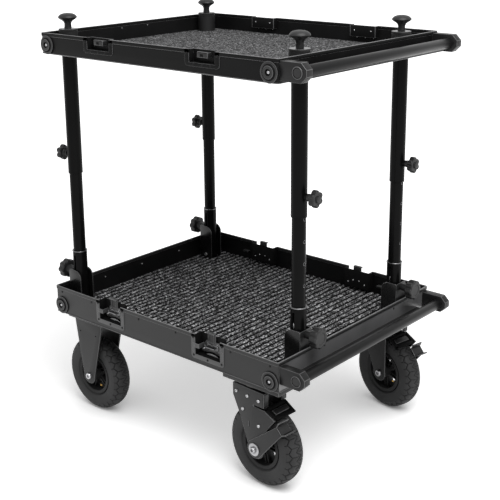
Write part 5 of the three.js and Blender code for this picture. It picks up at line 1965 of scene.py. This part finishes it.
# %% Camera
image_size = 500
sensor = 36
focal_px, principal_y = 1024.2, 185
camera_turn, camera_tilt, camera_roll = radians(40.82), radians(15.10), radians(-0.44)
camera_place = Vector((1.6928, -1.9422, 1.3240))

forward = Vector((
    -sin(camera_turn) * cos(camera_tilt), cos(camera_turn) * cos(camera_tilt), -sin(camera_tilt)
))
level = Vector((cos(camera_turn), sin(camera_turn), 0))
upright = level.cross(forward)
right = cos(camera_roll) * level + sin(camera_roll) * upright
up = -sin(camera_roll) * level + cos(camera_roll) * upright
lens = bpy.data.cameras.new("camera")
lens.sensor_width = sensor
lens.lens = focal_px / image_size * sensor
lens.shift_y = -(image_size / 2 - principal_y) / image_size
camera = bpy.data.objects.new("camera", lens)
bpy.context.scene.collection.objects.link(camera)
camera.matrix_world = Matrix((right, up, -forward)).transposed().to_4x4()
camera.matrix_world.translation = camera_place
bpy.context.scene.camera = camera
print("camera", [round(v, 3) for v in camera_place], "lens", round(lens.lens, 1))

# %% [markdown]
# The photograph has a white sweep with soft shadows close round the wheels. The floor glows white to the
# camera further out, and half as much round the cart, where it takes the shadows. The world is full white
# only where the camera or a reflection sees it. It lights the cart by a little under half of that, so
# that the blacks stay deep.

# %% What the camera and the reflections see of the backdrop
def seen_directly(nodes, links):
    """1 for the camera's rays and for those of gloss and glass, and 0 for the rays that light things."""
    path = nodes.new("ShaderNodeLightPath")
    total = path.outputs["Is Camera Ray"]
    for kind in ("Is Glossy Ray", "Is Transmission Ray"):
        add = nodes.new("ShaderNodeMath")
        add.operation, add.use_clamp = "ADD", True
        links.new(total, add.inputs[0])
        links.new(path.outputs[kind], add.inputs[1])
        total = add.outputs["Value"]
    return total


# %% The floor's material
white = (1, 1, 1, 1)
floor_grey = (0.9, 0.9, 0.9, 1)
floor_roughness, floor_gloss = 0.9, 0.1
floor_plain_radius, floor_white_radius, floor_plain_glow = 0.7, 1.9, 0.5
contact_reach, contact_samples = 0.15, 12


def white_floor():
    material = bpy.data.materials.new("studio floor")
    material.use_nodes = True
    nodes, links = material.node_tree.nodes, material.node_tree.links
    shader = nodes["Principled BSDF"]
    shader.inputs["Base Color"].default_value = floor_grey
    shader.inputs["Roughness"].default_value = floor_roughness
    shader.inputs["Specular IOR Level"].default_value = floor_gloss
    shader.inputs["Emission Color"].default_value = white
    place = nodes.new("ShaderNodeTexCoord")
    reach = nodes.new("ShaderNodeVectorMath")
    reach.operation = "LENGTH"
    links.new(place.outputs["Object"], reach.inputs[0])
    rise = nodes.new("ShaderNodeMapRange")
    rise.interpolation_type = "SMOOTHSTEP"
    rise.inputs["From Min"].default_value = floor_plain_radius
    rise.inputs["From Max"].default_value = floor_white_radius
    rise.inputs["To Min"].default_value = floor_plain_glow
    rise.inputs["To Max"].default_value = 1.0
    links.new(reach.outputs["Value"], rise.inputs["Value"])
    # Ambient occlusion dims the glow close to the wheels: a painted contact shadow on the floor.
    contact = nodes.new("ShaderNodeAmbientOcclusion")
    contact.samples = contact_samples
    contact.inputs["Distance"].default_value = contact_reach
    glow = rise.outputs["Result"]
    for share in (contact.outputs["AO"], seen_directly(nodes, links)):
        product = nodes.new("ShaderNodeMath")
        product.operation = "MULTIPLY"
        links.new(glow, product.inputs[0])
        links.new(share, product.inputs[1])
        glow = product.outputs["Value"]
    links.new(glow, shader.inputs["Emission Strength"])
    return material


# %% Floor
floor_half = 20
floor_shape = bmesh.new()
bmesh.ops.create_grid(floor_shape, x_segments=1, y_segments=1, size=floor_half)
floor_mesh = bpy.data.meshes.new("floor")
floor_shape.to_mesh(floor_mesh)
floor_shape.free()
floor_mesh.materials.append(white_floor())
floor = bpy.data.objects.new("floor", floor_mesh)
bpy.context.scene.collection.objects.link(floor)
print("floor", [round(side, 1) for side in floor.dimensions])

# %% World
world_light = 0.45
world = bpy.data.worlds.new("studio")
bpy.context.scene.world = world
world.use_nodes = True
world_links, world_nodes = world.node_tree.links, world.node_tree.nodes
background = world_nodes["Background"]
background.inputs["Color"].default_value = white
world_strength = world_nodes.new("ShaderNodeMapRange")
world_strength.inputs["To Min"].default_value = world_light
world_strength.inputs["To Max"].default_value = 1.0
world_links.new(seen_directly(world_nodes, world_links), world_strength.inputs["Value"])
world_links.new(world_strength.outputs["Result"], background.inputs["Strength"])
print("the world lights the cart by", world_light)

# %% [markdown]
# One large soft lamp hangs high over the push bars, a little to the near side. It gives the faint streaks
# on the tubes and bars, and draws the cart's shadow out to the left.

# %% The lamp
lamp_place, lamp_target, lamp_size, lamp_power = Vector((1.4, -0.7, 3.0)), Vector((0, 0, 0.3)), 2.0, 88
key = bpy.data.lights.new("key", "AREA")
key.shape, key.size, key.energy = "SQUARE", lamp_size, lamp_power
lamp = bpy.data.objects.new("key", key)
bpy.context.scene.collection.objects.link(lamp)
lamp.location = lamp_place
lamp.rotation_euler = (lamp_target - lamp_place).to_track_quat("-Z", "Y").to_euler()
bpy.context.scene.view_settings.view_transform = "Standard"
print("lamp at", [round(v, 2) for v in lamp_place], "watts", lamp_power)
